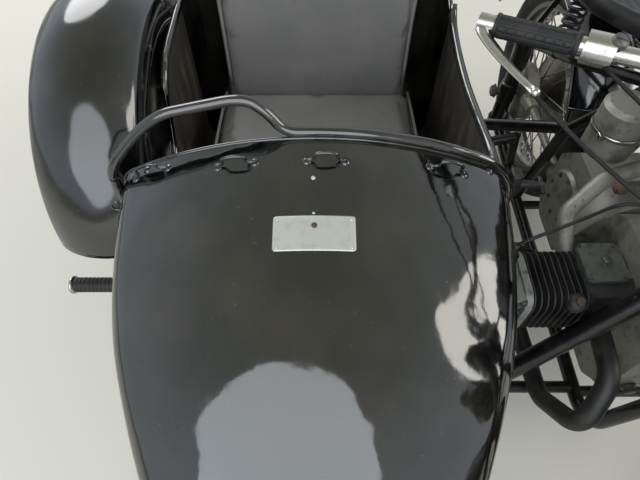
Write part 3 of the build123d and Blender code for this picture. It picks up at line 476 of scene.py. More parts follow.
@dataclass(frozen=True)
class Finish:
    """A real surface: its colour and gloss, the record's slot, the patches that come through it, and its relief."""

    name: str
    colour: str
    slot: Slot = Slot.BARE_STEEL
    metallic: float = 0.0
    roughness: float = 0.5
    ior: float = 1.5
    patches: tuple[Patch, ...] = ()
    reliefs: tuple[Relief, ...] = ()

    def pattern(self, base: Base, size_mm: float, stretch: Point = (1.0, 1.0, 1.0), cells: bool = False) -> Socket:
        """Noise or cells of a real size.

        Args:
            base: What the material is built on.
            size_mm: Size of the pattern's features.
            stretch: How much longer they are along each axis.
            cells: Whether the pattern is cells, such as a grain, and not a noise.
        Returns:
            The pattern's value.
        """
        scale = {"Scale": tuple(1 / s for s in stretch)}
        place = add_node(base.tree, "ShaderNodeMapping", scale, {"Vector": base.place}).outputs[0]
        kind = "ShaderNodeTexVoronoi" if cells else "ShaderNodeTexNoise"
        return add_node(base.tree, kind, {"Scale": 1000 / size_mm}, {"Vector": place}).outputs[0]

    def colours(self, base: Base) -> tuple[Socket, Socket]:
        """Lays the patches over the ground colour, one after the other.

        Args:
            base: What the material is built on.
        Returns:
            Sockets of the colour and of the roughness.
        """
        tree = base.tree
        colour = add_node(tree, "ShaderNodeMix", {"data_type": "RGBA", 0: 0.0, 6: linear(self.colour)}).outputs[2]
        rough = add_node(tree, "ShaderNodeMath", {"operation": "ADD", 0: self.roughness, 1: 0.0}).outputs[0]
        for patch in self.patches:
            value = self.pattern(base, patch.size_mm, patch.stretch)
            limits = {"From Min": patch.low, "From Max": patch.high, "To Max": patch.most}
            share = add_node(tree, "ShaderNodeMapRange", limits, {"Value": value}).outputs[0]
            settings = {"data_type": "RGBA", 7: linear(patch.colour)}
            colour = add_node(tree, "ShaderNodeMix", settings, {0: share, 6: colour}).outputs[2]
            if patch.roughness is not None:
                rough = add_node(tree, "ShaderNodeMix", {3: patch.roughness}, {0: share, 2: rough}).outputs[0]
        return colour, rough

    def bumps(self, base: Base) -> None:
        """Stacks the reliefs and feeds the shader's normal with them.

        Args:
            base: What the material is built on.
        """
        normal = None
        for relief in self.reliefs:
            value = self.pattern(base, relief.size_mm, relief.stretch, relief.cells)
            links = {"Height": value} if normal is None else {"Height": value, "Normal": normal}
            normal = add_node(base.tree, "ShaderNodeBump", {"Distance": relief.depth_mm / 1000}, links).outputs[0]
        if normal is not None:
            base.tree.links.new(normal, base.shader.inputs["Normal"])

    def material(self) -> bpy.types.Material:
        """Makes the material.

        Returns:
            The new material, or the one of that name if it is there already.
        """
        if self.name in bpy.data.materials:
            return bpy.data.materials[self.name]
        made = bpy.data.materials.new(self.name)
        made.use_nodes = True
        tree = made.node_tree
        tree.nodes.clear()
        shader = add_node(tree, "ShaderNodeBsdfPrincipled", {"IOR": self.ior})
        add_node(tree, "ShaderNodeOutputMaterial", links={"Surface": shader.outputs[0]})
        self.dress(Base(tree, shader, add_node(tree, "ShaderNodeTexCoord").outputs["Object"]))
        return made

    def dress(self, base: Base) -> None:
        """Feeds the shader's colour, roughness and normal.

        Args:
            base: What the material is built on.
        """
        tree, shader = base.tree, base.shader
        shader.inputs["Metallic"].default_value = self.metallic
        colour, rough = self.colours(base)
        tree.links.new(colour, shader.inputs["Base Color"])
        tree.links.new(rough, shader.inputs["Roughness"])
        self.bumps(base)


@dataclass(frozen=True)
class SpokedFinish(Finish):
    """Finish that changes with the distance from a wheel's axle: alloy hub, bare spokes, painted rim."""

    axle: Point = (0.0, 0.0, 0.0)
    hub_radius: float = 0.107
    rim_radius: float = 0.2335
    hub: str = "8e8c86"
    spoke: str = "b9b7b1"
    grime: str = "4d463d"
    metal_roughness: float = 0.42

    def dress(self, base: Base) -> None:
        """Feeds the shader by rings: radius = length of (y, z) - axle; a 30 mm stain dulls hub and spokes.

        Args:
            base: What the material is built on.
        """
        tree, shader = base.tree, base.shader
        shift = {"Location": tuple(-a for a in self.axle)}
        place = add_node(tree, "ShaderNodeMapping", shift, {"Vector": base.place}).outputs[0]
        split = add_node(tree, "ShaderNodeSeparateXYZ", links={0: place}).outputs
        flat = add_node(tree, "ShaderNodeCombineXYZ", links={1: split[1], 2: split[2]}).outputs[0]
        radius = add_node(tree, "ShaderNodeVectorMath", {"operation": "LENGTH"}, {0: flat}).outputs["Value"]
        beyond = {"operation": "GREATER_THAN"}
        past_hub = add_node(tree, "ShaderNodeMath", beyond | {1: self.hub_radius}, {0: radius}).outputs[0]
        past_spoke = add_node(tree, "ShaderNodeMath", beyond | {1: self.rim_radius}, {0: radius}).outputs[0]
        paint, rough = self.colours(base)
        stain = self.pattern(base, 30)
        mix = {"data_type": "RGBA"}
        ends = mix | {6: linear(self.hub), 7: linear(self.spoke)}
        metal = add_node(tree, "ShaderNodeMix", ends, {0: past_hub}).outputs[2]
        dull = add_node(tree, "ShaderNodeMix", mix | {7: linear(self.grime)}, {0: stain, 6: metal}).outputs[2]
        whole = add_node(tree, "ShaderNodeMix", mix, {0: past_spoke, 6: dull, 7: paint}).outputs[2]
        bare = add_node(tree, "ShaderNodeMath", {"operation": "SUBTRACT", 0: 1.0}, {1: past_spoke}).outputs[0]
        gloss = add_node(tree, "ShaderNodeMix", {2: self.metal_roughness}, {0: past_spoke, 3: rough}).outputs[0]
        tree.links.new(whole, shader.inputs["Base Color"])
        tree.links.new(bare, shader.inputs["Metallic"])
        tree.links.new(gloss, shader.inputs["Roughness"])
        self.bumps(base)


@dataclass(frozen=True)
class BarrelFinish(Finish):
    """Iron barrels and chests, alloy heads far out from the machine's middle, enamelled cover plates on top."""

    middle: float = BIKE_X
    head_from: float = 0.3025
    plate_to: float = 0.198
    plate_over: float = 0.5012
    head: str = "8d8f8b"
    head_dirt: str = "3c372f"
    plate: str = "5d625a"
    plate_dirt: str = "37342d"

    def dress(self, base: Base) -> None:
        """Feeds the shader by place: reach = |x - middle|; heads where it is over head_from, plates by reach and z.

        Args:
            base: What the material is built on.
        """
        tree, shader = base.tree, base.shader
        iron, rough = self.colours(base)
        split = add_node(tree, "ShaderNodeSeparateXYZ", links={0: base.place}).outputs
        offset = add_node(tree, "ShaderNodeMath", {"operation": "SUBTRACT", 1: self.middle}, {0: split[0]}).outputs[0]
        reach = add_node(tree, "ShaderNodeMath", {"operation": "ABSOLUTE"}, {0: offset}).outputs[0]
        beyond = {"operation": "GREATER_THAN"}
        on_head = add_node(tree, "ShaderNodeMath", beyond | {1: self.head_from}, {0: reach}).outputs[0]
        near = add_node(tree, "ShaderNodeMath", {"operation": "LESS_THAN", 1: self.plate_to}, {0: reach}).outputs[0]
        high = add_node(tree, "ShaderNodeMath", beyond | {1: self.plate_over}, {0: split[2]}).outputs[0]
        on_plate = add_node(tree, "ShaderNodeMath", {"operation": "MULTIPLY"}, {0: near, 1: high}).outputs[0]
        stain = self.pattern(base, 16)
        limits = {"From Min": 0.5, "From Max": 0.75, "To Max": 0.75}
        dirt = add_node(tree, "ShaderNodeMapRange", limits, {"Value": stain}).outputs[0]
        mix = {"data_type": "RGBA"}
        ends = mix | {6: linear(self.head), 7: linear(self.head_dirt)}
        alloy = add_node(tree, "ShaderNodeMix", ends, {0: dirt}).outputs[2]
        ends = mix | {6: linear(self.plate), 7: linear(self.plate_dirt)}
        lid = add_node(tree, "ShaderNodeMix", ends, {0: dirt}).outputs[2]
        first = add_node(tree, "ShaderNodeMix", mix, {0: on_head, 6: iron, 7: alloy}).outputs[2]
        whole = add_node(tree, "ShaderNodeMix", mix, {0: on_plate, 6: first, 7: lid}).outputs[2]
        shader.inputs["Metallic"].default_value = self.metallic
        tree.links.new(whole, shader.inputs["Base Color"])
        tree.links.new(rough, shader.inputs["Roughness"])
        self.bumps(base)


@dataclass(frozen=True)
class LinedFinish(Finish):
    """Enamel outside, dusty half-matt paint inside: inside is where |x - middle| < reach and ahead < y < behind."""

    middle: float = CAR_X
    reach: float = 0.3225
    ahead: float = -0.070
    behind: float = 0.474
    lining: str = "2f2b27"
    scuffs: str = "544d44"
    lining_roughness: float = 0.42

    def dress(self, base: Base) -> None:
        """Feeds the shader by place; scuffs 38 mm wide, three times as tall, run over the lining.

        Args:
            base: What the material is built on.
        """
        tree, shader = base.tree, base.shader
        paint, rough = self.colours(base)
        split = add_node(tree, "ShaderNodeSeparateXYZ", links={0: base.place}).outputs
        offset = add_node(tree, "ShaderNodeMath", {"operation": "SUBTRACT", 1: self.middle}, {0: split[0]}).outputs[0]
        across = add_node(tree, "ShaderNodeMath", {"operation": "ABSOLUTE"}, {0: offset}).outputs[0]
        under, over, both = ({"operation": name} for name in ("LESS_THAN", "GREATER_THAN", "MULTIPLY"))
        inner = add_node(tree, "ShaderNodeMath", under | {1: self.reach}, {0: across}).outputs[0]
        past = add_node(tree, "ShaderNodeMath", over | {1: self.ahead}, {0: split[1]}).outputs[0]
        before = add_node(tree, "ShaderNodeMath", under | {1: self.behind}, {0: split[1]}).outputs[0]
        along = add_node(tree, "ShaderNodeMath", both, {0: past, 1: before}).outputs[0]
        inside = add_node(tree, "ShaderNodeMath", both, {0: inner, 1: along}).outputs[0]
        scuff = self.pattern(base, 38, (1.0, 1.0, 3.0))
        limits = {"From Min": 0.45, "From Max": 0.75}
        share = add_node(tree, "ShaderNodeMapRange", limits, {"Value": scuff}).outputs[0]
        mix = {"data_type": "RGBA"}
        ends = mix | {6: linear(self.lining), 7: linear(self.scuffs)}
        dusty = add_node(tree, "ShaderNodeMix", ends, {0: share}).outputs[2]
        colour = add_node(tree, "ShaderNodeMix", mix, {0: inside, 6: paint, 7: dusty}).outputs[2]
        gloss = add_node(tree, "ShaderNodeMix", {3: self.lining_roughness}, {0: inside, 2: rough}).outputs[0]
        tree.links.new(colour, shader.inputs["Base Color"])
        tree.links.new(gloss, shader.inputs["Roughness"])
        self.bumps(base)


@dataclass(frozen=True)
class Glass(Finish):
    """Clear or dyed glass, pressed, with its light scattered by flutes."""

    clearness: float = 0.7

    def dress(self, base: Base) -> None:
        """Lets light through and feeds the rest as for any finish."""
        base.shader.inputs["Transmission Weight"].default_value = self.clearness
        super().dress(base)


DUST = "8d8271"

# Stove enamel, sprayed and polished: near black and wet-looking, with the shallow waves of beaten sheet under it,
# the fine peel of the spray gun, and a film of road dust where it isn't wiped. The peel, about 1 mm, is drawn at
# 3 and 9 mm to show.
ENAMEL = Finish(
    "black_stove_enamel",
    "050606",
    Slot.BLACK_PAINT,
    roughness=0.07,
    ior=1.95,
    patches=(
        Patch("1c1a16", 90, 0.5, 0.75, 0.5, roughness=0.13),
        Patch("5d5648", 130, 0.48, 0.8, 0.16, roughness=0.2),
        Patch(DUST, 9, 0.7, 0.8, 0.1, roughness=0.45),
        Patch("a79c89", 2.6, 0.74, 0.8, 0.5, roughness=0.6),
    ),
    reliefs=(Relief(190, 6.5), Relief(60, 0.9), Relief(9, 0.045, stretch=(1.0, 3.0, 1.0)), Relief(3, 0.012)),
)
# The tub: the same enamel outside, and inside a thinner coat that shoes and luggage have rubbed dusty.
TUB_ENAMEL = LinedFinish(
    "tub_enamel_and_lining",
    "060606",
    Slot.BLACK_PAINT,
    roughness=0.09,
    ior=1.9,
    patches=(Patch(DUST, 8, 0.7, 0.8, 0.12, roughness=0.45),),
    reliefs=(Relief(120, 1.6), Relief(5, 0.02)),
)
# The same enamel on guards: grit has scoured it, so it is duller, with brown dust in patches.
GUARD_ENAMEL = Finish(
    "black_guard_enamel",
    "060707",
    Slot.BLACK_PAINT,
    roughness=0.11,
    ior=1.85,
    patches=(
        Patch("28241d", 60, 0.48, 0.75, 0.4, roughness=0.22),
        Patch(DUST, 7, 0.69, 0.8, 0.16, roughness=0.5),
    ),
    reliefs=(Relief(90, 0.9), Relief(5, 0.02)),
)
# Brushed-on black lacquer on tube and forgings: half gloss, with brush ridges and chips down to brown primer.
TUBE_LACQUER = Finish(
    "brushed_tube_lacquer",
    "0b0b0b",
    Slot.BLACK_TUBE,
    roughness=0.28,
    patches=(
        Patch("2b2722", 35, 0.5, 0.75, 0.6, roughness=0.5),
        Patch("5a4431", 7, 0.7, 0.78, 0.7, roughness=0.8),
    ),
    reliefs=(Relief(12, 0.12), Relief(3, 0.05)),
)
# Vulcanised rubber of the tyres: dark grey, matt, browned by road dust; its 1 mm texture is drawn at 4 mm.
TYRE_RUBBER = Finish(
    "vulcanised_tyre_rubber",
    "191919",
    Slot.TYRE_RUBBER,
    roughness=0.82,
    patches=(Patch("4a443b", 45, 0.45, 0.75, 0.7), Patch("6b6254", 6, 0.6, 0.8, 0.35)),
    reliefs=(Relief(4, 0.15),),
)
# Moulded rubber of grips and pegs: black, with a little shine where hands and boots polish it.
GRIP_RUBBER = Finish(
    "moulded_grip_rubber",
    "151515",
    Slot.GRIP_RUBBER,
    roughness=0.55,
    patches=(Patch("33302b", 18, 0.5, 0.75, 0.6, roughness=0.7),),
    reliefs=(Relief(3, 0.06),),
)
# Sand-cast aluminium, never polished: dull grey with oil-brown stains; the sand's 1 mm texture is drawn at 3.5 mm.
CAST_ALLOY = Finish(
    "sand_cast_aluminium",
    "8b8981",
    metallic=0.55,
    roughness=0.52,
    patches=(
        Patch("4a4338", 55, 0.5, 0.72, 0.75, roughness=0.62),
        Patch("23201c", 14, 0.6, 0.78, 0.65, roughness=0.45),
        Patch("a9a79d", 5, 0.62, 0.8, 0.4),
    ),
    reliefs=(Relief(3.5, 0.35), Relief(40, 0.4)),
)
# Grey-iron castings blackened by heat and oil, with rust in the pores, which are drawn at 3 mm.
CAST_IRON = Finish(
    "heat_blackened_iron",
    "343534",
    metallic=0.35,
    roughness=0.55,
    patches=(Patch("5b4434", 26, 0.58, 0.75, 0.55, roughness=0.85), Patch("171615", 40, 0.5, 0.72, 0.7)),
    reliefs=(Relief(3, 0.3),),
)
# The cylinders: the same iron, with alloy heads and grey-green enamelled cover plates.
BARRELS = BarrelFinish(
    "iron_barrels_alloy_heads",
    "3a3b3a",
    metallic=0.4,
    roughness=0.5,
    patches=(Patch("5b4434", 26, 0.58, 0.75, 0.45, roughness=0.8), Patch("191817", 40, 0.5, 0.72, 0.7)),
    reliefs=(Relief(3, 0.3),),
)
# Steel of nuts, bolts and axles: dull grey under a film of oil, with brown rust at the edges of it.
GREY_STEEL = Finish(
    "oily_grey_steel",
    "595954",
    metallic=0.6,
    roughness=0.45,
    patches=(Patch("2a2723", 35, 0.5, 0.72, 0.8), Patch("6a4a33", 9, 0.66, 0.78, 0.5, roughness=0.8)),
    reliefs=(Relief(4, 0.2),),
)
# Mild-steel exhaust tube painted with heat-proof black: sooty, rust-brown in patches.
EXHAUST_BLACK = Finish(
    "heat_proof_black_tube",
    "141414",
    roughness=0.5,
    patches=(Patch("4b3527", 30, 0.55, 0.75, 0.6, roughness=0.85), Patch("2e2b29", 60, 0.45, 0.7, 0.6)),
    reliefs=(Relief(5, 0.12),),
)
# Turned and nickel-plated steel of levers and bar: bright, pitted with brown specks.
BRIGHT_STEEL = Finish(
    "plated_lever_steel",
    "bdbbb5",
    metallic=1.0,
    roughness=0.24,
    patches=(Patch("6f6557", 16, 0.56, 0.76, 0.6, roughness=0.5), Patch("4f3a29", 3, 0.7, 0.8, 0.6, roughness=0.8)),
    reliefs=(Relief(3, 0.03),),
)
# Rolled aluminium of the data plate: pale, brushed along its length.
PLATE_ALUMINIUM = Finish(
    "rolled_plate_aluminium",
    "c3c5bf",
    metallic=0.55,
    roughness=0.42,
    patches=(Patch("9a9a92", 14, 0.5, 0.75, 0.35), Patch("77736b", 3, 0.66, 0.8, 0.4, stretch=(6.0, 1.0, 1.0))),
    reliefs=(Relief(4, 0.05, stretch=(8.0, 1.0, 1.0)),),
)
# Steel fasteners that have lost their plating: matt, rust-brown in 5 mm blooms.
RUSTY_STEEL = Finish(
    "rusted_screw_steel",
    "5a4a3f",
    metallic=0.6,
    roughness=0.6,
    patches=(Patch("6b3c22", 5, 0.5, 0.7, 0.8, roughness=0.9),),
    reliefs=(Relief(3, 0.1),),
)
# Oil-tempered springs, painted once and worn.
SPRING_STEEL = Finish(
    "oil_tempered_spring_steel",
    "1d1d1d",
    Slot.BLACK_TUBE,
    metallic=0.3,
    roughness=0.42,
    patches=(Patch("51433a", 12, 0.58, 0.74, 0.7, roughness=0.8),),
    reliefs=(Relief(4, 0.08),),
)
# Vinyl leathercloth: warm dark grey, dusty in the hollows; its 1 mm pebbled grain is drawn at 3 mm.
VINYL = Finish(
    "grained_vinyl_leathercloth",
    "737170",
    Slot.SEAT_VINYL,
    roughness=0.46,
    patches=(
        Patch("827f7b", 120, 0.4, 0.7, 0.6, roughness=0.55),
        Patch("857e73", 9, 0.64, 0.8, 0.25, roughness=0.7),
        Patch("57534e", 60, 0.6, 0.8, 0.35),
    ),
    reliefs=(Relief(3, 0.16, cells=True), Relief(55, 1.6)),
)
# Moulded rubber of the rider's saddle: black, glossier where it is sat on.
SADDLE_RUBBER = Finish(
    "moulded_saddle_rubber",
    "121212",
    Slot.SADDLE_RUBBER,
    roughness=0.42,
    patches=(Patch("2f2c28", 50, 0.45, 0.7, 0.6, roughness=0.62),),
    reliefs=(Relief(4, 0.1),),
)
# Bakelite of the battery case, plug caps and switches: brown-black, with the gloss of the mould.
BAKELITE = Finish(
    "pressed_bakelite",
    "1a1512",
    Slot.BATTERY_CASE,
    roughness=0.3,
    patches=(Patch("4a4238", 20, 0.5, 0.75, 0.5, roughness=0.6),),
    reliefs=(Relief(6, 0.05),),
)
# Braided and waxed cloth over wires and control cables: black, half matt; the braid is drawn at 3 mm.
CABLE_COVER = Finish(
    "waxed_cable_braid",
    "0e0e0e",
    Slot.GRIP_RUBBER,
    roughness=0.5,
    patches=(Patch("332e28", 12, 0.5, 0.75, 0.6, roughness=0.7),),
    reliefs=(Relief(3, 0.15),),
)
# Pressed glass of the headlamp: clear, with upright flutes that spread the reflector's gleam.
CLEAR_GLASS = Glass(
    "pressed_lamp_glass",
    "e6ebea",
    Slot.LAMP_BODY,
    roughness=0.06,
    reliefs=(Relief(9, 0.5, stretch=(1.0, 1.0, 12.0)),),
)
# Dyed glass of the rear lamps: deep red, with pressed pips.
RED_GLASS = Glass("red_lamp_glass", "8e0e0a", Slot.LAMP_BODY, roughness=0.12, reliefs=(Relief(5, 0.4, cells=True),))
# Silvered reflector behind the headlamp's glass: mirror-bright, a little uneven.
REFLECTOR = Finish("silvered_reflector", "d9d9d6", metallic=1.0, roughness=0.12, reliefs=(Relief(30, 0.2),))


def dress(
    piece: Piece, finish: Finish, body: Body = Body.FRAME
) -> Piece:
    """Gives a new piece its material and the body that it rides on.

    Args:
        piece: The finished piece.
        finish: Its finish.
        body: CAD body that it moves with.
    Returns:
        The piece.
    """
    piece.data.materials.clear()
    piece.data.materials.append(finish.material())
    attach(piece, body.value)
    LOG.info("%s: %d points, %s", piece.name, len(piece.data.vertices), finish.name)
    return piece


# Nodes that keep their CAD mesh


def shading_tree() -> Tree:
    """Makes a node tree that welds a CAD node's loose triangles and keeps edges over 32 degrees sharp.

    Returns:
        The tree.
    """
    tree = bpy.data.node_groups.new("weld_and_shade", "GeometryNodeTree")
    tree.interface.new_socket("Geometry", in_out="INPUT", socket_type="NodeSocketGeometry")
    tree.interface.new_socket("Geometry", in_out="OUTPUT", socket_type="NodeSocketGeometry")
    source = add_node(tree, "NodeGroupInput")
    welded = add_node(tree, "GeometryNodeMergeByDistance", {"Distance": 0.00001}, {"Geometry": source.outputs[0]})
    angle = add_node(tree, "GeometryNodeInputMeshEdgeAngle").outputs[0]
    soft = add_node(tree, "FunctionNodeCompare", {"operation": "LESS_THAN", "B": math.radians(32)}, {"A": angle})
    faces = add_node(tree, "GeometryNodeSetShadeSmooth", {"domain": "FACE", 2: True}, {0: welded.outputs[0]})
    edges = add_node(tree, "GeometryNodeSetShadeSmooth", {"domain": "EDGE"}, {0: faces.outputs[0], 2: soft.outputs[0]})
    add_node(tree, "NodeGroupOutput", links={0: edges.outputs[0]})
    return tree


@dataclass
class Castings:
    """CAD nodes: each keeps its mesh, which is shaded smooth, and gets its finish. Some are replaced further down."""

    nodes: dict[str, Piece]
    groups: tuple[tuple[Finish, str], ...] = (
        (TUBE_LACQUER, "main_frame plungers rack foot_controls lamps chassis struts fork"),
        (ENAMEL, "fuel_tank car_nose car_tail boot_lid grab_rail headlamp"),
        (TUB_ENAMEL, "car_floor car_side_inner car_side_outer"),
        (GUARD_ENAMEL, "rear_mudguard car_mudguard front_mudguard"),
        (CAST_ALLOY, "engine_case gearbox carburettor air_cleaner final_drive"),
        (BARRELS, "cylinders"),
        (GREY_STEEL, "rear_axle front_axle"),
        (BRIGHT_STEEL, "handlebar hand_levers"),
        (EXHAUST_BLACK, "exhaust"),
        (SPRING_STEEL, "saddle_springs leaf_springs"),
        (SADDLE_RUBBER, "saddle"),
        (BAKELITE, "battery"),
        (GRIP_RUBBER, "step_rubber grips"),
        (VINYL, "seat_cushion seat_back"),
        (TYRE_RUBBER, "front_tyre rear_tyre car_tyre"),
    )

    def finishes(self) -> dict[str, Finish]:
        """Chooses a finish for each node; the wheels' painted rims are worn in patches.

        Returns:
            Finish of each node.
        """
        worn = Patch("3a342c", 30, 0.5, 0.75, 0.6, roughness=0.6)
        looks = {"roughness": 0.3, "patches": (worn,), "reliefs": (Relief(6, 0.1),)}
        rims = {
            body.value: SpokedFinish(f"painted_rim_bare_spokes_{body.value}", "090909", axle=centre, **looks)
            for body, centre in WHEELS.items()
        }
        return rims | {name: finish for finish, names in self.groups for name in names.split()}

    def build(self) -> None:
        """Dresses every node."""
        tree = shading_tree()
        for name, finish in self.finishes().items():
            node = self.nodes[name]
            node.data.materials.clear()
            node.data.materials.append(finish.material())
            node.modifiers.new("shade", "NODES").node_group = tree
            LOG.info("%s: CAD node in %s", name, finish.name)


# Sidecar body


def smooth_rows(table: Rows, at: Array) -> Array:
    """Natural cubic spline through the rows of a table.

    Between rows i and i + 1 the value is the cubic whose second derivative runs straight from m[i] to m[i + 1],
    and the m's make the slopes meet at each row.

    Args:
        table: Rows that start with their place.
        at: Places to work out.
    Returns:
        The other columns at each place.
    """
    table = np.asarray(table, float)
    order = np.argsort(table[:, 0])
    place, value = table[order, 0], table[order, 1:]
    step = np.diff(place)
    count = len(place)
    matrix = np.eye(count)
    right = np.zeros_like(value)
    inner = np.arange(1, count - 1)
    matrix[inner, inner - 1] = step[:-1]
    matrix[inner, inner] = 2 * (step[:-1] + step[1:])
    matrix[inner, inner + 1] = step[1:]
    slope = np.diff(value, axis=0) / step[:, None]
    right[1:-1] = 6 * np.diff(slope, axis=0)
    second = np.linalg.solve(matrix, right)
    low = np.clip(np.searchsorted(place, at) - 1, 0, count - 2)
    gone = (at - place[low])[:, None]
    left = (place[low + 1] - at)[:, None]
    width = step[low][:, None]
    cubic = (second[low] * left**3 + second[low + 1] * gone**3) / (6 * width)
    straight = (value[low] / width - second[low] * width / 6) * left
    straight += (value[low + 1] / width - second[low + 1] * width / 6) * gone
    return cubic + straight


@dataclass
class Nose:
    """Sheet nose of the sidecar: an arched top on upright sides that narrows forwards, with what is fixed on it."""

    # Each row: y, half width, underside, shoulder, crown, corner radius
    sections: Rows = (
        (-0.075, 0.325, 0.285, 0.705, 0.790, 0.045),
        (-0.330, 0.301, 0.292, 0.662, 0.735, 0.045),
        (-0.560, 0.227, 0.330, 0.575, 0.640, 0.045),
        (-0.720, 0.155, 0.385, 0.480, 0.535, 0.038),
        (-0.800, 0.097, 0.398, 0.446, 0.482, 0.018),
    )
    sheet: float = 0.0035
    dent: float = 0.0011
    tip_y: float = -0.78
    tip: float = 0.02
    floor_steps: int = 11
    corner_steps: int = 9
    side_steps: int = 14
    arch_steps: int = 39
    plate_half: tuple[float, float] = (0.0585, 0.026)
    plate_y: float = -0.2375
    plate_corner: float = 0.004
    plate_lift: float = 0.0012
    plate_rim: float = 0.0005
    plate_sheet: float = 0.001
    rivet_inset: tuple[float, float] = (0.006, 0.005)

    def top(self, across: Array, y: Array) -> Array:
        """Points of the arched top: z = crown - R + sqrt(R^2 - across^2), R from the arch's half width and rise.

        Args:
            across: Distances from the body's middle plane.
            y: Places along the machine.
        Returns:
            Points as rows of x, y, z.
        """
        across, y = np.broadcast_arrays(np.asarray(across, float), np.asarray(y, float))
        half, _, shoulder, crown, _ = smooth_rows(self.sections, y.ravel()).T.reshape(5, *y.shape)
        rise = crown - shoulder
        bow = (half**2 + rise**2) / (2 * rise)
        return np.stack([CAR_X + across, y, crown - bow + np.sqrt(bow**2 - across**2)], -1)

    def normal(self, across: float, y: float) -> Array:
        """Outward direction of the top, square to two short steps along it.

        Args:
            across: Distance from the body's middle plane.
            y: Place along the machine.
        Returns:
            The direction.
        """
        here = self.top(across, y)
        along = self.top(across, y + 0.002) - here
        sideways = self.top(across + 0.002, y) - here
        return unit(np.cross(sideways, along))

    def rings(self, y: Array) -> Array:
        """Closed sections: level underside, quarter rounds, upright sides, rounded shoulders and the arch.

        Args:
            y: Places along the machine.
        Returns:
            Points as sections x points x 3.
        """
        half, low, shoulder, crown, corner = [c[:, None] for c in smooth_rows(self.sections, y).T]
        rise = crown - shoulder
        bow = (half**2 + rise**2) / (2 * rise)
        middle = crown - bow
        lift = middle + np.sqrt((bow - corner) ** 2 - (half - corner) ** 2)
        lean = np.arctan2(lift - middle, half - corner)
        share = np.linspace(0, 1, self.corner_steps)[None, :]
        floor_x = (half - corner) * np.linspace(0, 1, self.floor_steps + 1)[None, :-1]
        floor_z = np.broadcast_to(low, floor_x.shape)
        turn = -np.pi / 2 + share * np.pi / 2
        foot_x, foot_z = half - corner + corner * np.cos(turn), low + corner + corner * np.sin(turn)
        climb = np.linspace(0, 1, self.side_steps + 2)[None, 1:-1]
        side_x = half + 0 * climb
        side_z = low + corner + (lift - low - corner) * climb
        round_x, round_z = half - corner + corner * np.cos(lean * share), lift + corner * np.sin(lean * share)
        sweep = lean + (np.pi / 2 - lean) * np.linspace(0, 1, self.arch_steps + 1)[None, 1:]
        arch_x, arch_z = bow * np.cos(sweep), middle + bow * np.sin(sweep)
        right_x = np.hstack([floor_x, foot_x, side_x, round_x, arch_x])
        right_z = np.hstack([floor_z, foot_z, side_z, round_z, arch_z])
        x = np.hstack([right_x, -right_x[:, -2:0:-1]])
        z = np.hstack([right_z, right_z[:, -2:0:-1]])
        return np.stack([CAR_X + x, np.broadcast_to(y[:, None], x.shape), z], -1)

    def skin(self) -> Piece:
        """Sheet skin, beaten slightly uneven: inset = dent * product of slow sines of y and of the girth.

        At the tip, y goes on with the sine of an angle while the section shrinks with its cosine.

        Returns:
            The skin.
        """
        rows = 90
        turn = np.linspace(0.2, np.pi / 2, 8)
        y = np.concatenate([np.linspace(EDGE_Y, self.tip_y, rows), self.tip_y - self.tip * np.sin(turn)])
        grid = self.rings(y)
        middle = grid.mean(axis=1, keepdims=True)
        shrink = np.ones(len(y))
        shrink[rows:] = 1 - (1 - np.cos(turn)) * 0.3
        grid = middle + (grid - middle) * shrink[:, None, None]
        grid[..., 1] = y[:, None]
        girth = np.linspace(0, 2 * np.pi, grid.shape[1], endpoint=False)[None, :]
        wave = np.sin(y * 23 + 1.1)[:, None] * np.sin(girth * 9 + 0.7)
        wave += 0.6 * np.sin(y * 41)[:, None] * np.cos(girth * 14)
        edge = np.clip((EDGE_Y - y) / 0.05, 0, 1)[:, None]
        inward = unit(middle - grid) * (self.dent * edge * (1 + wave) / 2)[..., None]
        faces = grid_faces(len(y), grid.shape[1], False, True)
        last = len(y) - 1
        faces.append(list(range(last * grid.shape[1], (last + 1) * grid.shape[1])))
        piece = mesh_object("nose_skin", (grid + inward).reshape(-1, 3), faces)
        return harden(thicken(piece, self.sheet), 0.0012)

    def edge_bead(self) -> Piece:
        """Wired edge round the cockpit end of the nose: a thin rod rolled into the sheet.

        Returns:
            The rod.
        """
        skipped = self.floor_steps + self.corner_steps
        arc = self.rings(np.array([EDGE_Y - 0.004]))[0][skipped : 1 - skipped]
        middle = arc.mean(axis=0)
        return tube("nose_wired_edge", arc + unit(middle - arc) * 0.0015, 0.0035, 12, level=(0.0, 1.0, 0.0))

    def data_plate(self) -> tuple[Piece, Piece]:
        """Bare aluminium plate bent to the nose: points past a corner's centre are pulled in to the corner's radius.

        Returns:
            The plate with its raised rim, and its four rivets.
        """
        half = np.array(self.plate_half)
        inner = half - self.plate_corner
        place = np.stack(np.meshgrid(np.linspace(-half[0], half[0], 41), np.linspace(-half[1], half[1], 21)), -1)
        past = np.abs(place) - inner
        over = np.linalg.norm(np.maximum(past, 0), axis=-1, keepdims=True)
        pull = np.where(over > self.plate_corner, self.plate_corner / np.maximum(over, 1e-6), 1.0)
        rounded = np.minimum(np.abs(place), inner + past * pull)
        place = np.sign(place) * np.where(over > 0, rounded, np.abs(place))
        border = np.max(np.abs(place) / half, axis=-1)
        grid = self.top(place[..., 0], self.plate_y + place[..., 1])
        grid[..., 2] += self.plate_lift + self.plate_rim * ((border > 0.93) & (border < 0.985))
        u, v = half - self.rivet_inset
        spots = [(i * u, self.plate_y + j * v) for i in (-1, 1) for j in (-1, 1)]
        heads = [self.dome(f"plate_rivet_{i}", *spot, 0.0022, 0.0012, 0.0015) for i, spot in enumerate(spots)]
        return thicken(surface("data_plate", grid), self.plate_sheet), joined("plate_rivets", heads)

